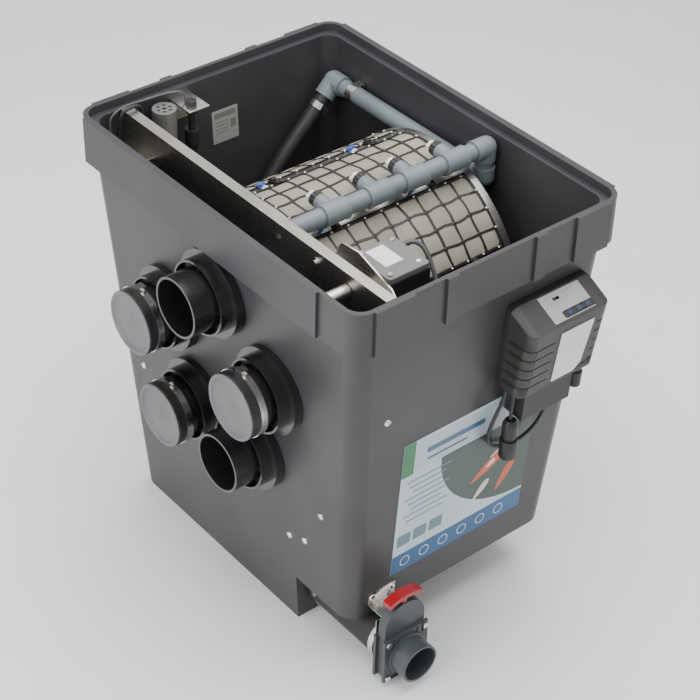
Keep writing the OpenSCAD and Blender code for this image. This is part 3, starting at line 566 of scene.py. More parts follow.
# ---- the tank ----
@dataclass(frozen=True)
class Walls:
    """The tank's drafted walls, and places on them."""

    half_x: float = 0.271
    half_y: float = 0.3685
    draft_x: float = 0.045
    draft_y: float = 0.048
    body_top: float = 0.734

    def x_at(self, z: float) -> float:
        """Half the tank's length at height z."""
        return self.half_x - self.draft_x * (self.body_top - z) / self.body_top

    def y_at(self, z: float) -> float:
        """Half the tank's width at height z."""
        return self.half_y - self.draft_y * (self.body_top - z) / self.body_top

    def on_front(self, x: float, z: float) -> Matrix:
        """A place on the front wall: +X right, +Y into the wall, +Z up along it.

        Args:
            x: Where along the wall.
            z: Its height.

        Returns:
            The place.
        """
        lean = math.atan(self.draft_y / self.body_top)
        return shift(x, -self.y_at(z), z) @ Matrix.Rotation(lean, 4, "X")

    def on_side(self, y: float, z: float) -> Matrix:
        """A place on the pipe side's wall: +Z out of the wall.

        Args:
            y: Where along the wall.
            z: Its height.

        Returns:
            The place.
        """
        lean = math.atan(self.draft_x / self.body_top)
        return shift(-self.x_at(z), y, z) @ Matrix.Rotation(-lean - math.pi / 2, 4, "Y")

    def at_port(self, y: float, z: float) -> Matrix:
        """A place on the wall at a connection: +Z straight out.

        Args:
            y: Where along the wall.
            z: Its height.

        Returns:
            The place.
        """
        return shift(-self.x_at(z), y, z) @ Matrix.Rotation(-math.pi / 2, 4, "Y")


WALLS = Walls()


@dataclass
class Tank:
    """The tank shell, the partition and what is screwed to the walls."""

    screw_r: float = 0.0068
    side_screws: tuple[tuple[float, float], ...] = (
        (0.268, 0.316),
        (-0.165, 0.203),
        (-0.209, 0.222),
        (-0.259, 0.318),
    )

    def build(self) -> None:
        """Builds the shell, the partition and the screws."""
        softened("tank", TANK, 0.0014, 3)
        softened("partition", STEEL, 0.0007)
        for node in ("partition_bolts", "pipe_straps"):
            softened(node, BRIGHT, 0.0004)
        for node in ("spacer_tube", "inlet_tray", "waste_trough", "roller_mounts"):
            softened(node, STEEL, 0.0005)
        self._screws()

    def _screws(self) -> None:
        """Domed screws with a hexagon socket."""
        socket = self.screw_r * 0.36
        dome = turned(
            [(0, 0.0022), (socket, 0.0022), (socket, 0.0040)]
            + [
                (self.screw_r * math.cos(step * math.pi / 14), 0.0042 * math.sin(step * math.pi / 14))
                for step in range(5, -1, -1)
            ],
            24,
        )
        places = [WALLS.on_side(y, z) for y, z in self.side_screws]
        face_out = turn(90, "X")
        places.append(WALLS.on_front(-0.192, 0.561) @ face_out)
        over_plate = shift(0, -0.002, 0) @ face_out
        places += [WALLS.on_front(x, 0.149) @ over_plate for x in (-0.187, -0.143)]
        screws = Shape().lay(dome, *places)
        add_piece("wall_screw_heads", screws.mesh, BRIGHT, "root", ["wall_screws"])


# ---- the drum ----
@dataclass
class Drum:
    """The screen drum: its panels, nets, frames and fasteners."""

    axis_z: float = 0.528
    radius: float = 0.233
    low_x: float = -0.1445
    high_x: float = 0.1985
    panels: int = 9
    first: float = 20.0
    margin: float = 2.4
    columns: int = 9
    rows: int = 4
    puff: float = 0.0022
    cord: float = 0.0042
    knot: float = 0.0066
    sway: float = 0.0045

    @property
    def length(self) -> float:
        """Length of a panel along the drum."""
        return self.high_x - self.low_x

    @property
    def width(self) -> float:
        """Width of a panel round the drum."""
        return math.radians(360 / self.panels - 2 * self.margin) * self.radius

    def build(self) -> None:
        """Builds the drum's visible pieces."""
        softened("drum_frame", DRUM_STEEL, 0.0007)
        for node in ("drum_gear", "support_roller_front", "support_roller_back", "drive_pinion"):
            softened(node, WHITE, 0.0004)
        dress("rear_bearing", DARK)
        dress("drum_seal", RUBBER)
        self._cloth()
        self._net()
        self._rivets()
        self._clips()
        self._latches()

    def _round(self, point: Vector, number: int, sway: float = 0.0) -> Vector:
        """Wraps a point of a flat panel round the drum.

        Args:
            point: Along the drum, round it and out of it, from the panel's middle.
            number: Which panel.
            sway: How far the hand-laid net strays from its lines.

        Returns:
            The wrapped point.
        """
        seed = Vector((point.x * 31, point.y * 31, number * 7.3))
        x = point.x + sway * noise.noise(seed)
        s = point.y + sway * noise.noise(seed + Vector((9.1, 4.7, 2.2)))
        angle = math.radians(self.first + (number + 0.5) * 360 / self.panels) + s / self.radius
        out = self.radius + point.z
        middle = (self.low_x + self.high_x) / 2
        return Vector((middle + x, -out * math.sin(angle), self.axis_z + out * math.cos(angle)))

    def _wrapped(self, flat: Callable[[], BMesh], sway: float = 0.0) -> Shape:
        """Wraps a flat panel's part round the drum, once for each panel.

        Args:
            flat: Makes the flat part.
            sway: How far the net strays.

        Returns:
            All the copies.
        """
        whole = Shape()
        for number in range(self.panels):
            part = flat()
            for vertex in part.verts:
                vertex.co = self._round(vertex.co, number, sway)
            whole.lay(part)
        return whole

    def _cloth(self) -> None:
        """The woven screen, puffed out a little between the cords of the net."""

        def flat() -> BMesh:
            """One flat panel of screen with its puffs."""
            part = bmesh.new()
            weave = part.loops.layers.uv.new("weave")
            bmesh.ops.create_grid(part, x_segments=self.columns * 6, y_segments=self.rows * 6, size=0.5)
            for vertex in part.verts:
                across, round_it = vertex.co.x + 0.5, vertex.co.y + 0.5
                swell = abs(
                    math.sin(math.pi * across * self.columns) * math.sin(math.pi * round_it * self.rows)
                )
                vertex.co.x *= self.length - 2 * MM
                vertex.co.y *= self.width - 2 * MM
                vertex.co.z = self.puff * swell**0.55
            for face in part.faces:
                for loop in face.loops:
                    loop[weave].uv = loop.vert.co.xy
            return part

        shape = self._wrapped(flat, self.sway)
        cloth = add_piece("screen_cloth", shape.mesh, MESH, "drum", ["screen_panels"], math.pi)
        wall = cloth.modifiers.new("thickness", "SOLIDIFY")
        wall.thickness = 0.0008
        wall.offset = -1.0

    def _net(self) -> None:
        """The black net over each panel and the moulded rim round it."""

        def cords() -> BMesh:
            """The cords of one flat panel."""
            net = Shape()
            for column in range(1, self.columns):
                x = (column / self.columns - 0.5) * self.length
                net.lay(self._cord(self.width - 6 * MM), shift(x, 0, 0.0013) @ turn(90, "Z"))
            for row in range(1, self.rows):
                y = (row / self.rows - 0.5) * self.width
                net.lay(self._cord(self.length - 6 * MM), shift(0, y, 0.0016))
                for column in range(1, self.columns):
                    x = (column / self.columns - 0.5) * self.length
                    net.lay(block((self.knot, self.knot, 0.0030), 0.0010, rounds=1), shift(x, y, 0.0015))
            return net.mesh

        def rim() -> BMesh:
            """The rim of one flat panel."""
            part = bmesh.new()
            bmesh.ops.create_grid(part, x_segments=1, y_segments=1, size=0.5)
            bmesh.ops.scale(part, vec=(self.length, self.width, 1.0), verts=part.verts)
            bevel(part, part.verts[:], 0.015, 5, "VERTICES")
            middle = part.faces[:]
            bmesh.ops.inset_region(
                part, faces=middle, thickness=0.0044, use_even_offset=True, use_boundary=True
            )
            bmesh.ops.delete(part, geom=middle, context="FACES")
            for cut in range(-6, 7):
                bmesh.ops.bisect_plane(
                    part,
                    geom=part.verts[:] + part.edges[:] + part.faces[:],
                    dist=1e-6,
                    plane_co=(0, cut * self.width / 14, 0),
                    plane_no=(0, 1, 0),
                )
            grown = bmesh.ops.extrude_face_region(part, geom=part.faces[:], use_keep_orig=True)
            risen = [item for item in grown["geom"] if isinstance(item, bmesh.types.BMVert)]
            bmesh.ops.translate(part, vec=(0, 0, 0.0032), verts=risen)
            bmesh.ops.recalc_face_normals(part, faces=part.faces)
            return part

        net = self._wrapped(cords, self.sway)
        net.lay(self._wrapped(rim).mesh)
        sharp = math.radians(50)
        add_piece("screen_net", net.mesh, BLACK, "drum", ["screen_grids"], sharp)

    def _cord(self, length: float) -> BMesh:
        """A straight piece of the net's cord along X, with cuts to bend at.

        Args:
            length: Its length.

        Returns:
            The cord.
        """
        part = block((length, self.cord, 0.0022))
        long_lines = [line for line in part.edges if line.calc_length() > length / 2]
        cuts = max(8, round(length / 0.011))
        bmesh.ops.subdivide_edges(part, edges=long_lines, cuts=cuts, use_grid_fill=True)
        ends = [line for line in part.edges if abs(line.calc_face_angle(0.0)) > 1.0 and line in long_lines]
        if ends:
            bevel(part, ends, 0.0004, 1)
        return part

    def _rivets(self) -> None:
        """Small pale rivets along the rim of each panel."""

        def flat() -> BMesh:
            """The rivets of one flat panel."""
            heads = Shape()
            spots = []
            for column in range(self.columns + 1):
                x = (column / self.columns - 0.5) * (self.length - 0.022)
                spots += [(x, side * (self.width / 2 - 0.0024)) for side in (-1, 1)]
            for row in range(1, self.rows):
                y = (row / self.rows - 0.5) * self.width
                spots += [(side * (self.length / 2 - 0.0024), y) for side in (-1, 1)]
            head = bmesh.new()
            bmesh.ops.create_uvsphere(head, u_segments=8, v_segments=6, radius=0.0020)
            return heads.lay(head, *[shift(x, y, 0.0034) for x, y in spots]).mesh

        shape = self._wrapped(flat)
        add_piece("screen_rivets", shape.mesh, WHITE, "drum")

    def _on_bar(self, number: int, x: float, out: float) -> Matrix:
        """A place on the bar before a panel: +X along it, +Z out of the drum."""
        angle = math.radians(self.first + number * 360 / self.panels)
        return shift(0, 0, self.axis_z) @ Matrix.Rotation(angle, 4, "X") @ shift(x, 0, out)

    def _clips(self) -> None:
        """Black saddle clips over the bars, each with a thumb loop."""
        clip = Shape()
        clip.lay(block((0.013, 0.028, 0.0030), 0.0009, (0, 0, 0.0012)))
        clip.lay(block((0.010, 0.011, 0.0060), 0.0016, (0, 0.0060, 0.0040)))
        clip.lay(block((0.009, 0.008, 0.0040), 0.0012, (0, -0.0080, 0.0030)))
        places = [self._on_bar(number, x, 0.2365) for number in range(self.panels) for x in (-0.082, 0.128)]
        clips = Shape().lay(clip.mesh, *places)
        add_piece("panel_clip_saddles", clips.mesh, BLACK, "drum", ["panel_clips"])

    def _latches(self) -> None:
        """Blue turn latches on pale seats."""
        knob = Shape()
        knob.lay(turned([(0, 0.0085), (0.0038, 0.0085), (0.0045, 0.0078), (0.0045, 0.001), (0, 0.001)], 20))
        knob.lay(block((0.017, 0.0042, 0.0052), 0.0012, (0.001, 0, 0.0072)))
        places = [self._on_bar(number, x, 0.2355) for number in range(self.panels) for x in (-0.112, 0.084)]
        knobs = Shape().lay(knob.mesh, *places)
        add_piece("latch_knobs", knobs.mesh, BLUE, "drum", ["panel_latches"])
        seats = Shape().lay(block((0.012, 0.013, 0.003), 0.0009, (0.0045, 0, 0.0005)), *places)
        add_piece("latch_seats", seats.mesh, WHITE, "drum")


# ---- drive and rinse system ----
@dataclass
class Drive:
    """The gear motor with its cover, bracket and type plate."""

    def build(self) -> None:
        """Builds the motor's pieces."""
        softened("gear_motor", DARK, 0.0018, 3)
        softened("motor_cover", MOTOR, 0.0022, 3)
        softened("motor_bracket", STEEL, 0.0005)
        low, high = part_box("motor_cover")
        middle = (low + high) / 2
        plate = block((0.036, 0.052, 0.0004), 0.0, (middle.x - 0.006, middle.y + 0.010, high.z + 0.0002))
        add_piece("motor_type_plate", plate, WHITE)
        dot = turned([(0, 0.0006), (0.004, 0.0006), (0.004, 0)], 24)
        dot.transform(shift(high.x - 0.014, low.y + 0.014, high.z))
        add_piece("motor_dot", dot, WHITE)
        screw = turned(
            [(0, 0.0012), (0.0012, 0.0012), (0.0012, 0.003), (0.0042, 0.003), (0.005, 0.0018), (0.005, 0)], 20
        )
        left, right, near, far = low.x + 0.010, high.x - 0.010, low.y + 0.010, high.y - 0.010
        spots = ((left, near), (left, far), (right, far))
        screws = Shape().lay(screw, *[shift(x, y, high.z) for x, y in spots])
        add_piece("motor_cover_screws", screws.mesh, BRIGHT)


@dataclass
class RinseSystem:
    """The spray bar with its nozzles, the supply pipe and the hose."""

    bar_y: float = -0.092
    bar_z: float = 0.785
    tilt: float = 86.0
    nozzles: tuple[float, ...] = (-0.095, -0.002, 0.076, 0.167)
    nut_r: float = 0.0138

    def build(self) -> None:
        """Builds the rinse pipework."""
        softened("spray_bar", PVC, 0.0006)
        softened("supply_pipe", PVC, 0.0006)
        softened("band_clamps", BRIGHT, 0.0003)
        softened("flush_pump", DARK, 0.0015)
        self._nozzles()
        self._collars()
        self._hose()

    def _places(self) -> list[Matrix]:
        """The place of each nozzle, +Z out of the bar."""
        return [shift(x, self.bar_y, self.bar_z) @ turn(-self.tilt, "X") for x in self.nozzles]

    def _nozzles(self) -> None:
        """Knurled union nuts and pale nozzle tips."""
        nut = turned(
            [(0.006, 0.0340), (0.0130, 0.0340), (self.nut_r, 0.0352), (self.nut_r, 0.0488), (0.0128, 0.0500)]
            + [(0.006, 0.0500), (0.006, 0.0340)]
        )
        nuts = Shape().lay(fluted(nut, 0.0125, 4, 2, 0.93), *self._places())
        sharp = math.radians(25)
        add_piece("nozzle_nuts", nuts.mesh, BLACK, "root", ["spray_nozzles"], sharp)
        tip = Shape()
        tip.lay(
            turned([(0.0018, 0.060), (0.0070, 0.060), (0.0082, 0.0585), (0.0086, 0.050), (0.0018, 0.050)], 28)
        )
        tip.lay(block((0.0190, 0.0040, 0.0110), 0.0010, (0, 0, 0.0560)))
        tips = Shape().lay(tip.mesh, *self._places())
        add_piece("nozzle_tips", tips.mesh, WHITE)

    def _collars(self) -> None:
        """Raised rims at the mouths of the bar's tees."""
        rim = turned([(0.0195, -0.002), (0.0203, -0.0014), (0.0203, 0.0014), (0.0195, 0.002)])
        mouths = [x + side * 0.0225 for x in self.nozzles for side in (-1, 1)]
        places = [shift(x, self.bar_y, self.bar_z) @ turn(90, "Y") for x in mouths]
        rims = Shape().lay(rim, *places)
        add_piece("tee_rims", rims.mesh, PVC)

    def _hose(self) -> None:
        """The flush hose, with shallow ribs wound round it."""
        line = smooth_route(HOSE_ROUTE, 0.002)
        part = swept(line, 0.0150, 24, lambda step: 0.0004 * (step % 3 == 0) - 0.0004)
        add_piece("flush_hose_ribbed", part, HOSE, "root", ["flush_hose"], math.radians(60))


# ---- routes of the cables and the hose, in metres ----
def in_metres(route: Sequence[Point]) -> list[Vector]:
    """Points given in millimetres, in metres."""
    return [Vector(point) * MM for point in route]


CONTROL_ROUTE = in_metres(
    [
        (50, -378, 525), (46, -378, 505), (36, -376, 480), (30, -372, 455), (30, -366, 430),
        (36, -361, 408), (48, -357, 390), (64, -355, 378), (84, -355, 370), (106, -356, 368),
        (128, -358, 374), (146, -361, 388), (156, -365, 408), (160, -369, 430), (160, -371, 453),
    ]
)
LEAD_ROUTE = in_metres(
    [
        (67, -381, 524), (67, -381, 515), (67, -381, 500), (67, -380, 485), (67, -379, 470),
        (67, -379, 452),
    ]
)
MOTOR_ROUTE = in_metres(
    [
        (-50, -214, 768), (-45, -214, 768), (-37, -216, 769), (-28, -221, 768), (-21, -230, 762),
        (-19, -242, 751), (-20, -255, 736), (-22, -268, 718), (-25, -281, 698), (-28, -294, 678),
        (-30, -308, 658), (-31, -322, 641), (-31, -336, 629), (-31, -352, 622),
    ]
)
SENSOR_ROUTE = in_metres(
    [
        (-84, 340, 791), (-84, 341, 800), (-92, 343, 809), (-108, 346, 812), (-128, 350, 812),
        (-148, 353, 811), (-168, 354, 811), (-188, 353, 813), (-208, 352, 813), (-224, 351, 808),
        (-234, 350, 800), (-238, 348, 784), (-240, 346, 766), (-240, 344, 750),
    ]
)
PUMP_ROUTE = in_metres(
    [
        (-62, 258, 130), (-71, 259, 132), (-86, 269, 144), (-104, 278, 166), (-126, 288, 196),
        (-148, 300, 240), (-164, 310, 300), (-172, 318, 370), (-176, 325, 450), (-178, 331, 540),
        (-178, 336, 630), (-176, 339, 710), (-175, 340, 766), (-175, 340, 792), (-179, 340, 809),
        (-190, 340, 815), (-205, 340, 815), (-216, 340, 809), (-222, 340, 792), (-227, 339, 766),
        (-230, 338, 738),
    ]
)
HOSE_ROUTE = in_metres(
    [
        (218, 322, 703), (204, 322, 689), (180, 322, 665), (150, 322, 636), (118, 321, 604),
        (88, 319, 570), (62, 316, 532), (42, 312, 488), (28, 306, 440), (18, 298, 390),
        (10, 288, 345), (4, 277, 310), (0, 268, 285), (0, 268, 268),
    ]
)


def smooth_route(points: Sequence[Vector], step: float) -> list[Vector]:
    """A smooth line through the points of a route.

    Args:
        points: The route.
        step: About how far apart the line's points are.

    Returns:
        The line's points.
    """
    line = [points[0]]
    for index in range(len(points) - 1):
        before = points[max(index - 1, 0)]
        start, end = points[index], points[index + 1]
        after = points[min(index + 2, len(points) - 1)]
        count = max(2, round((end - start).length / step))
        for number in range(1, count + 1):
            t = number / count
            line.append(
                0.5
                * (
                    2 * start
                    + (end - before) * t
                    + (2 * before - 5 * start + 4 * end - after) * t**2
                    + (3 * start - before - 3 * end + after) * t**3
                )
            )
    return line


def swept(line: Sequence[Vector], radius: float, sides: int, swell: Callable[[int], float]) -> BMesh:
    """A closed tube along a line.

    Args:
        line: The line's points.
        radius: The tube's radius.
        sides: How many sides it has.
        swell: What to add to the radius at each point, by its number.

    Returns:
        The tube.
    """
    part = bmesh.new()
    side = Vector((0, 0, 1)).cross(line[1] - line[0]).normalized()
    rings = []
    for number, point in enumerate(line):
        ahead = (line[min(number + 1, len(line) - 1)] - line[max(number - 1, 0)]).normalized()
        side = (side - ahead * side.dot(ahead)).normalized()
        frame = Matrix((side, ahead.cross(side), ahead)).transposed().to_4x4()
        ring = bmesh.ops.create_circle(
            part, segments=sides, radius=radius + swell(number), matrix=Matrix.Translation(point) @ frame
        )
        rings.append(ring["verts"])
    for first, second in zip(rings, rings[1:]):
        pairs = [(ring[i], ring[(i + 1) % sides]) for ring in (first, second) for i in range(sides)]
        bmesh.ops.bridge_loops(part, edges=[part.edges.get(pair) for pair in pairs])
    for ring in (rings[0], rings[-1]):
        part.faces.new(ring)
    bmesh.ops.recalc_face_normals(part, faces=part.faces)
    return part


@dataclass(frozen=True)
class Cord:
    """A cable of the filter: its route, thickness and finish."""

    node: str
    route: Sequence[Vector]
    diameter: float
    finish: Finish
    slot: str
    far_end: str = "object"
    stiffness: str = "medium"
    lay: str = "hanging"

    def build(self, *on_it: Piece) -> None:
        """Args:
            on_it: The pieces that are on the cable; not used.
        """
        line = smooth_route(self.route, 0.003)
        data = bpy.data.curves.new(f"{self.node}_line", "CURVE")
        data.dimensions = "3D"
        data.bevel_depth = self.diameter / 2
        data.bevel_resolution = 4
        data.use_fill_caps = True
        spline = data.splines.new("POLY")
        spline.points.add(len(line) - 1)
        for point, place in zip(spline.points, line):
            point.co = (*place, 1.0)
        piece = link(bpy.data.objects.new(f"{self.node}_sheathed", data))
        data.materials.append(self.finish.material())
        settle(piece, "root", [self.node])


# ---- level sensing, pipe connections ----
@dataclass
class Fittings:
    """The level sensor, the type plate and the pipe connections."""

    caps: tuple[tuple[float, float], ...] = ((0.145, 0.532), (-0.145, 0.532), (0.083, 0.362))
    cap_r: float = 0.060
    wall: float = 0.008
    plate: float = 0.001
    print_t: float = 0.0003

    def build(self) -> None:
        """Builds the fittings."""
        softened("level_sensor", SENSOR, 0.0006)
        softened("sensor_bracket", BRIGHT, 0.0004)
        for node in ("float_stem", "float"):
            softened(node, BLACK, 0.0005)
        softened("port_flanges", PIPE, 0.0009, 3)
        softened("port_pipes", PIPE, 0.0008)
        self._caps()
        self._type_plate()

    def _caps(self) -> None:
        """Black cap skirts and their grey dished faces."""
        places = [WALLS.at_port(y, z) for y, z in self.caps]
        skirt = turned(
            [(0.0555, 0.0545), (0.0592, 0.0540), (self.cap_r, 0.0548), (self.cap_r, 0.0880), (0.0555, 0.0880)]
            + [(0.0555, 0.0545)],
            64,
        )
        skirts = Shape().lay(skirt, *places)
        add_piece("cap_skirts", skirts.mesh, BLACK)
        face = turned(
            [(0.0, 0.0858), (0.0030, 0.0860), (0.0042, 0.0852), (0.0300, 0.0850), (0.0480, 0.0853)]
            + [(0.0512, 0.0862), (0.0528, 0.0888), (0.0548, 0.0899), (0.0580, 0.0899), (0.0597, 0.0888)]
            + [(self.cap_r, 0.0872), (self.cap_r, 0.0845), (0.0, 0.0845)],
            64,
        )
        faces = Shape().lay(face, *places)
        add_piece("cap_faces", faces.mesh, CAP, "root", ["port_caps"], math.radians(50))

    def _type_plate(self) -> None:
        """The plate on the back wall, with plain raised fields."""
        softened("info_plate", PLATE, 0.0005)
        low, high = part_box("info_plate")
        tilt = Matrix.Rotation(-math.atan(WALLS.draft_y / WALLS.body_top), 4, "X")
        wide, tall = high.x - low.x, high.z - low.z
        foot = shift((low.x + high.x) / 2, WALLS.y_at(low.z) - self.wall, low.z)
        front = foot @ tilt @ shift(0, -self.plate, tall / 2)
        head, mark = rounded(wide * 0.80, tall * 0.16, 0.002), rounded(wide * 0.20, tall * 0.26, 0.002)
        fields = Shape()
        fields.lay(sheet_of(head, self.print_t), front @ shift(0, 0, tall * 0.34))
        for row in range(4):
            outline = rounded(wide * (0.50 - 0.05 * (row % 2)), 0.0016, 0.0006)
            spot = shift(-wide * 0.14, 0, tall * (0.14 - 0.11 * row))
            fields.lay(sheet_of(outline, self.print_t), front @ spot)
        fields.lay(sheet_of(mark, self.print_t), front @ shift(wide * 0.30, 0, 0))
        add_piece("type_plate_fields", fields.mesh, MOTOR)


# ---- control unit ----
@dataclass
class ControlUnit:
    """The control unit on the front wall, its cables and their connector."""

    centre_x: float = 0.134
    foot_z: float = 0.527
    wide: float = 0.178
    deep: float = 0.070
    lean: float = 0.012
    back: float = 0.012
    front_top: float = 0.140
    back_top: float = 0.164
    corner: float = 0.018
    groove_heights: tuple[float, ...] = (0.022, 0.043, 0.064, 0.085, 0.106)
    stripe_x: float = 0.016
    stripe_half: float = 0.047

    @property
    def place(self) -> Matrix:
        """The unit's place on the wall."""
        return WALLS.on_front(self.centre_x, self.foot_z)

    @property
    def slope(self) -> Matrix:
        """The middle of the panel on the sloping top: +Y up the slope, +Z out."""
        run = self.deep - self.back
        lean = math.atan((self.back_top - self.front_top) / run)
        middle = shift(0.012, -(self.deep + self.back) / 2 + 0.002, (self.front_top + self.back_top) / 2)
        rise = shift(0, 0, 0.002 * math.tan(lean))
        return self.place @ middle @ rise @ Matrix.Rotation(lean, 4, "X")

    def build(self) -> None:
        """Builds the control unit."""
        softened("control_housing", DARK, 0.0008)
        cover = softened("control_cover", HOUSING, 0.0011, 3)
        self._cut_grooves(cover)
        softened("display_panel", SILVER, 0.0005)
        softened("trim_plate", TRIM, 0.0006)
        for side in ("left", "middle", "right"):
            softened(f"button_{side}", KEYS, 0.0007)
        softened("mode_switch", BLACK, 0.0005)
        softened("junction_box", DARK, 0.0020, 3)
        self._printing()
        self._cables()

    def _depth(self, height: float) -> float:
        """How far the leaning front stands out at a height."""
        return self.deep - self.lean * (1 - height / self.front_top)

    def _cut_grooves(self, cover: Piece) -> None:
        """Cuts the grooves that run round both sides to near the trim stripe.

        Args:
            cover: The cover.
        """
        cutter = Shape()
        for height in self.groove_heights:
            for side in (-1, 1):
                cutter.lay(self._groove(height, side))
        cutter.mesh.transform(self.place)
        data = bpy.data.meshes.new("groove_cutter")
        cutter.mesh.to_mesh(data)
        cutter.mesh.free()
        tool = link(bpy.data.objects.new("groove_cutter", data))
        cut = cover.modifiers.new("grooves", "BOOLEAN")
        cut.operation = "DIFFERENCE"
        cut.solver = "EXACT"
        cut.object = tool
        cover.modifiers.move(cover.modifiers.find("grooves"), 0)
        evaluated = cover.evaluated_get(bpy.context.evaluated_depsgraph_get())
        carved = bpy.data.meshes.new_from_object(evaluated)
        cover.modifiers.clear()
        cover.data = carved
        cover.data.set_sharp_from_angle(angle=SHARP)
        bpy.data.objects.remove(tool)

    def _groove(self, height: float, side: int) -> BMesh:
        """A bar that follows one side and the corner at a height.

        Args:
            height: The groove's height above the unit's foot.
            side: -1 for the left side and 1 for the right side.

        Returns:
            The bar.
        """
        depth, half = self._depth(height), self.wide / 2
        centre_x, centre_y = half - self.corner, -depth + self.corner
        line = [(Vector((half, y)), Vector((1, 0))) for y in (-self.back - 0.010, centre_y)]
        for step in range(1, 9):
            angle = -math.pi / 2 * step / 8
            out = Vector((math.cos(angle), math.sin(angle)))
            line.append((Vector((centre_x, centre_y)) + out * self.corner, out))
        line.append((Vector((side * self.stripe_x + self.stripe_half, -depth)), Vector((0, -1))))
        part = bmesh.new()
        rings = []
        for point, out in line:
            ring = []
            for reach, rise in ((0.003, -0.0015), (0.003, 0.0015), (-0.0018, 0.0011), (-0.0018, -0.0011)):
                spot = point + out * reach
                ring.append(part.verts.new((side * spot.x, spot.y, height + rise)))
            rings.append(ring)
        for first, second in zip(rings, rings[1:]):
            for i in range(4):
                part.faces.new((first[i], first[(i + 1) % 4], second[(i + 1) % 4], second[i]))
        part.faces.new(rings[0])
        part.faces.new(rings[-1])
        bmesh.ops.recalc_face_normals(part, faces=part.faces)
        return part

    def _printing(self) -> None:
        """The dark field round the buttons, the frame of the slide switch and plain marks."""
        strips = [(rounded(0.062, 0.0028, 0.0012), 0.014, y) for y in (-0.0124, -0.0236)]
        strips += [(rounded(0.0098, 0.0125, 0.0010), x, -0.018) for x in (-0.0161, 0.0441)]
        strips += [(rounded(0.0090, 0.0125, 0.0004), x, -0.018) for x in (0.0040, 0.0240)]
        dark = Shape()
        for outline, x, y in strips:
            dark.lay(self._flat(moved_to(outline, x, y), 0.0003))
        add_piece("panel_key_field", dark.mesh, BLACK)
        marks = Shape()
        frame_outer = rounded(0.042, 0.0125, 0.0035)
        for index in range(len(frame_outer)):
            (x0, y0), (x1, y1) = frame_outer[index], frame_outer[(index + 1) % len(frame_outer)]
            marks.lay(self._line(x0 - 0.013, y0 + 0.014, x1 - 0.013, y1 + 0.014, 0.0005))
        marks.lay(self._line(0.012, 0.0195, 0.026, 0.0195, 0.0006))
        for x in (-0.006, 0.014, 0.034):
            marks.lay(self._flat(moved_to(rounded(0.0012, 0.0012, 0.0005), x, -0.0085), 0.0003))
        add_piece("panel_marks", marks.mesh, MOTOR)

    def _flat(self, outline: Sequence[Point], thickness: float) -> BMesh:
        """A flat shape on the sloping panel.

        Args:
            outline: Its points across and up the slope.
            thickness: Its thickness.

        Returns:
            The shape in the row frame.
        """
        part = sheet_of(outline, thickness)
        part.transform(self.slope @ turn(-90, "X"))
        bmesh.ops.recalc_face_normals(part, faces=part.faces)
        return part

    def _line(self, x0: float, y0: float, x1: float, y1: float, width: float) -> BMesh:
        """A thin line on the sloping panel from one point to another.

        Args:
            x0: Across, at its start.
            y0: Up the slope, at its start.
            x1: Across, at its end.
            y1: Up the slope, at its end.
            width: Its width.

        Returns:
            The line in the row frame.
        """
        along = Vector((x1 - x0, y1 - y0))
        side = Vector((-along.y, along.x)).normalized() * (width / 2)
        ahead = along.normalized() * (width / 2)
        start, end = Vector((x0, y0)) - ahead, Vector((x1, y1)) + ahead
        return self._flat([start - side, end - side, end + side, start + side], 0.00025)

    def _cables(self) -> None:
        """The looped cable, the short lead and the connector on it."""
        plug = Shape()
        knurled = turned(
            [(0.0, 0.372), (0.015, 0.372), (0.016, 0.3735), (0.016, 0.4085), (0.015, 0.410), (0.0, 0.410)]
        )
        plug.lay(fluted(knurled, 0.0155, 3, 1, 0.95))
        plug.lay(turned([(0.0, 0.410), (0.0120, 0.410), (0.0120, 0.418), (0.0, 0.418)], 32))
        plug.lay(
            turned(
                [(0.0, 0.418), (0.0132, 0.418), (0.0140, 0.419), (0.0140, 0.442), (0.0125, 0.4465)]
                + [(0.0095, 0.452), (0.0, 0.452)],
                32,
            )
        )
        plug.mesh.transform(shift(0.067, -0.379, 0))
        connector = add_piece("connector_knurled", plug.mesh, BLACK, "root", ["connector"])
        lead = Cord("connector_lead", LEAD_ROUTE, 0.007, CABLE, "cable_rubber", "connector")
        lead.build(connector)
        Cord("control_cable", CONTROL_ROUTE, 0.007, CABLE, "cable_rubber").build()


# ---- drain and label ----
@dataclass
class Drain:
    """The drain pipe and its gate valve."""

    centre_x: float = -0.165
    axis_z: float = 0.058
    front_y: float = -0.402
    wide: float = 0.098

    def build(self) -> None:
        """Builds the drain."""
        softened("drain_sleeve", RUBBER, 0.0008)
        for node in ("valve_body", "valve_bonnet"):
            softened(node, VALVE, 0.0010, 3)
        softened("valve_gate", BRIGHT, 0.0005)
        softened("valve_handle", RED, 0.0028, 4)
        softened("valve_bolts", BRIGHT, 0.0005)
        softened("valve_bracket", STEEL, 0.0004)
        self._ribs()

    def _ribs(self) -> None:
        """Stiffening ribs on the valve's front plate and bonnet."""
        ribs = Shape()
        rib_z = self.axis_z + 0.0375
        for step in (-3, -2, 2, 3):
            x = self.centre_x + step * 0.0125
            ribs.lay(block((0.0022, 0.0024, 0.020), 0.0006, (x, self.front_y - 0.0008, rib_z)))
        foot = (self.centre_x, self.front_y - 0.001, 0.0125)
        ribs.lay(block((self.wide - 0.030, 0.0030, 0.0026), 0.0008, foot))
        collar = turned([(0.0372, 0.0), (0.0415, 0.0), (0.0415, 0.004), (0.04, 0.005), (0.0372, 0.005)])
        ribs.lay(collar, shift(self.centre_x, self.front_y, self.axis_z) @ turn(90, "X"))
        add_piece("valve_ribs", ribs.mesh, VALVE)


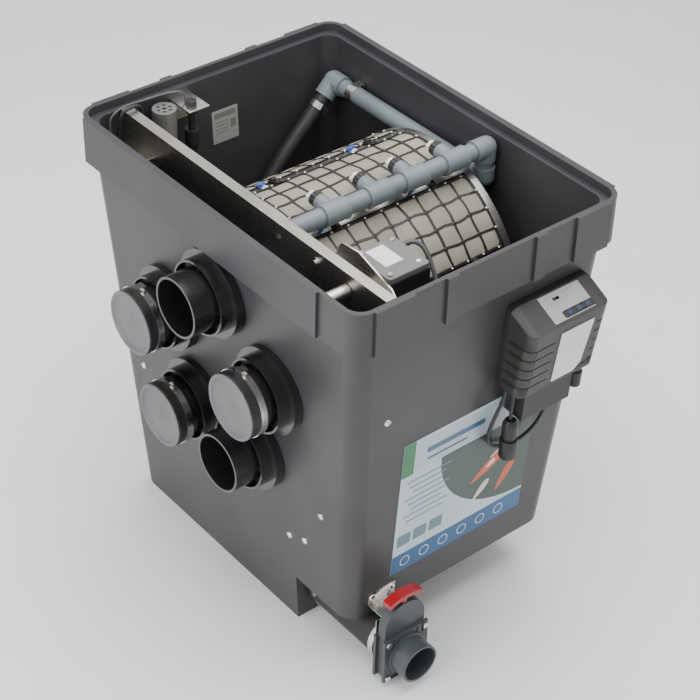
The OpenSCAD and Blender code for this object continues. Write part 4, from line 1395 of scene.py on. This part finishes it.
@dataclass
class Label:
    """The printed film on the front wall, with plain areas and simple shapes."""

    left: float = -0.148
    foot_z: float = 0.177
    wide: float = 0.304
    film_t: float = 0.001

    def build(self) -> None:
        """Builds the label from thin layers of ink."""
        softened("front_label", FILM, 0.0003)
        self._ink("mist", (0.47, 0.56, 0.60), [area(0.03, 0.235, 0.298, 0.302)], 1)
        self._ink("band", (0.010, 0.105, 0.27), [area(0, 0, self.wide, 0.044)], 2)
        arc = [(self.wide, 0.050)] + [
            (self.wide - 0.215 * math.sin(math.radians(a)), 0.236 - 0.186 * math.cos(math.radians(a)))
            for a in range(0, 91, 9)
        ]
        self._ink("pond", (0.045, 0.075, 0.065), [arc + [(0.110, 0.2365), (self.wide, 0.2365)]], 1)
        self._ink("tab", (0.03, 0.19, 0.075), [area(0, 0.233, 0.026, 0.308)], 2)
        fish = [blob(0.205, 0.150, 0.085, 0.026, 32), blob(0.252, 0.105, 0.070, 0.022, 58)]
        self._ink("orange", (0.70, 0.105, 0.03), fish, 2)
        pale = [blob(0.238, 0.178, 0.060, 0.018, 15), blob(0.196, 0.098, 0.052, 0.017, 48)]
        self._ink("cream", (0.78, 0.70, 0.62), pale, 2)
        self._ink("cream_spots", (0.78, 0.74, 0.70), [blob(0.212, 0.155, 0.024, 0.012, 32)], 3)
        pictures = [moved_to(rounded(0.030, 0.026, 0.003), 0.022 + 0.036 * k, 0.078) for k in range(3)]
        self._ink("pictures", (0.12, 0.22, 0.26), pictures, 2)
        lines = [rounded(0.100 - 0.016 * (k % 3), 0.0030, 0.001) for k in range(8)]
        lines = [moved_to(line, 0.064, 0.215 - 0.0135 * k) for k, line in enumerate(lines)]
        self._ink("bars", (0.16, 0.24, 0.30), lines, 2)
        head = [moved_to(rounded(0.130, 0.012, 0.003), 0.118, 0.272)]
        head.append(moved_to(rounded(0.090, 0.005, 0.002), 0.100, 0.252))
        self._ink("heading", (0.05, 0.12, 0.22), head, 2)
        icons = [moved_to(rounded(0.022, 0.022, 0.010), 0.030 + 0.044 * k, 0.022) for k in range(6)]
        self._ink("icons", (0.70, 0.76, 0.80), icons, 3)
        rings = [moved_to(rounded(0.018, 0.018, 0.008), 0.030 + 0.044 * k, 0.022) for k in range(6)]
        self._ink("icon_fields", (0.010, 0.105, 0.27), rings, 4)

    def _ink(self, name: str, colour: Colour, outlines: Sequence[Sequence[Point]], layer: int) -> None:
        """Lays one ink over the film.

        Args:
            name: What the ink shows.
            colour: Its colour.
            outlines: The outlines of its areas.
            layer: How many layers it lies above the film.
        """
        ink = Shape()
        for outline in outlines:
            ink.lay(sheet_of(outline, 0.00012 * layer))
        middle = WALLS.on_front(self.left + self.wide / 2, self.foot_z)
        ink.mesh.transform(middle @ shift(-self.wide / 2, -self.film_t, 0))
        add_piece(f"label_{name}", ink.mesh, film(name, colour))


# ---- studio ----
@dataclass
class Studio:
    """The floor, the soft lights and the camera."""

    place: Colour = (-1.751, -2.100, 2.499)
    azimuth: float = -40.26
    elevation: float = 37.50
    roll: float = 1.68
    lens: float = 97.89

    def build(self) -> None:
        """Builds the studio."""
        self._floor()
        self._light("sky_box", (0.2, 0.0, 2.7), (0, 0, 0.4), 2.6, 84.0)
        self._light("side_box", (-2.6, -0.1, 1.3), (0, 0, 0.40), 2.0, 46.0)
        self._light("front_box", (0.9, -2.9, 1.9), (0, 0, 0.60), 1.6, 4.0)
        world = bpy.data.worlds.new("studio_air")
        world.use_nodes = True
        world.node_tree.nodes["Background"].inputs["Color"].default_value = (1.0, 1.0, 1.0, 1.0)
        world.node_tree.nodes["Background"].inputs["Strength"].default_value = 0.80
        bpy.context.scene.world = world
        self._camera()

    def _floor(self) -> None:
        """A pale floor far wider than the view."""
        part = bmesh.new()
        bmesh.ops.create_grid(part, x_segments=1, y_segments=1, size=30.0)
        data = bpy.data.meshes.new("studio_floor")
        part.to_mesh(data)
        part.free()
        paper = Finish("floor_paper", (0.95, 0.95, 0.95), (0.97, 0.97, 0.97), 0.8, bump=0.0)
        data.materials.append(paper.material())
        link(bpy.data.objects.new("studio_floor", data))

    def _light(self, name: str, place: Point, target: Point, size: float, power: float) -> None:
        """A square soft light.

        Args:
            name: The light's name.
            place: Where it hangs.
            target: What it points at.
            size: Its side.
            power: Its power in watts.
        """
        data = bpy.data.lights.new(name, "AREA")
        data.size = size
        data.energy = power
        light = bpy.data.objects.new(name, data)
        light.location = place
        light.rotation_euler = (Vector(target) - Vector(place)).to_track_quat("-Z", "Y").to_euler()
        link(light)

    def _camera(self) -> None:
        """The camera, above and in front of the pipe side's corner."""
        azimuth, elevation = math.radians(self.azimuth), math.radians(self.elevation)
        roll = math.radians(self.roll)
        ahead = Vector(
            (
                -math.sin(azimuth) * math.cos(elevation),
                math.cos(azimuth) * math.cos(elevation),
                -math.sin(elevation),
            )
        )
        right = Vector((math.cos(azimuth), math.sin(azimuth), 0.0))
        above = right.cross(ahead)
        across = right * math.cos(roll) + above * math.sin(roll)
        upward = above * math.cos(roll) - right * math.sin(roll)
        data = bpy.data.cameras.new("photo_camera")
        data.lens = self.lens
        data.sensor_width = 36.0
        camera = bpy.data.objects.new("main_camera", data)
        facing = Matrix((across, upward, -ahead)).transposed().to_4x4()
        camera.matrix_world = Matrix.Translation(self.place) @ facing
        bpy.context.scene.camera = link(camera)


def corners(bounds: tuple[Vector, Vector]) -> list[list[float]]:
    """The lowest and highest corner as plain lists."""
    return [[round(value, 6) for value in corner] for corner in bounds]


def main() -> None:
    """Builds the filter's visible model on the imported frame."""
    logging.basicConfig(level=logging.INFO, format="%(name)s: %(message)s")
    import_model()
    for part in (Tank(), Drum(), Drive(), RinseSystem(), Fittings(), ControlUnit(), Drain(), Label()):
        part.build()
        LOG.info("built %s", type(part).__name__)
    for cable in (
        Cord("motor_cable", MOTOR_ROUTE, 0.008, GREY_CABLE, "cable_grey"),
        Cord("sensor_cable", SENSOR_ROUTE, 0.004, GREY_CABLE, "cable_grey"),
        Cord("pump_cable", PUMP_ROUTE, 0.007, CABLE, "cable_rubber"),
    ):
        cable.build()
    Studio().build()


if __name__ == "__main__":
    main()
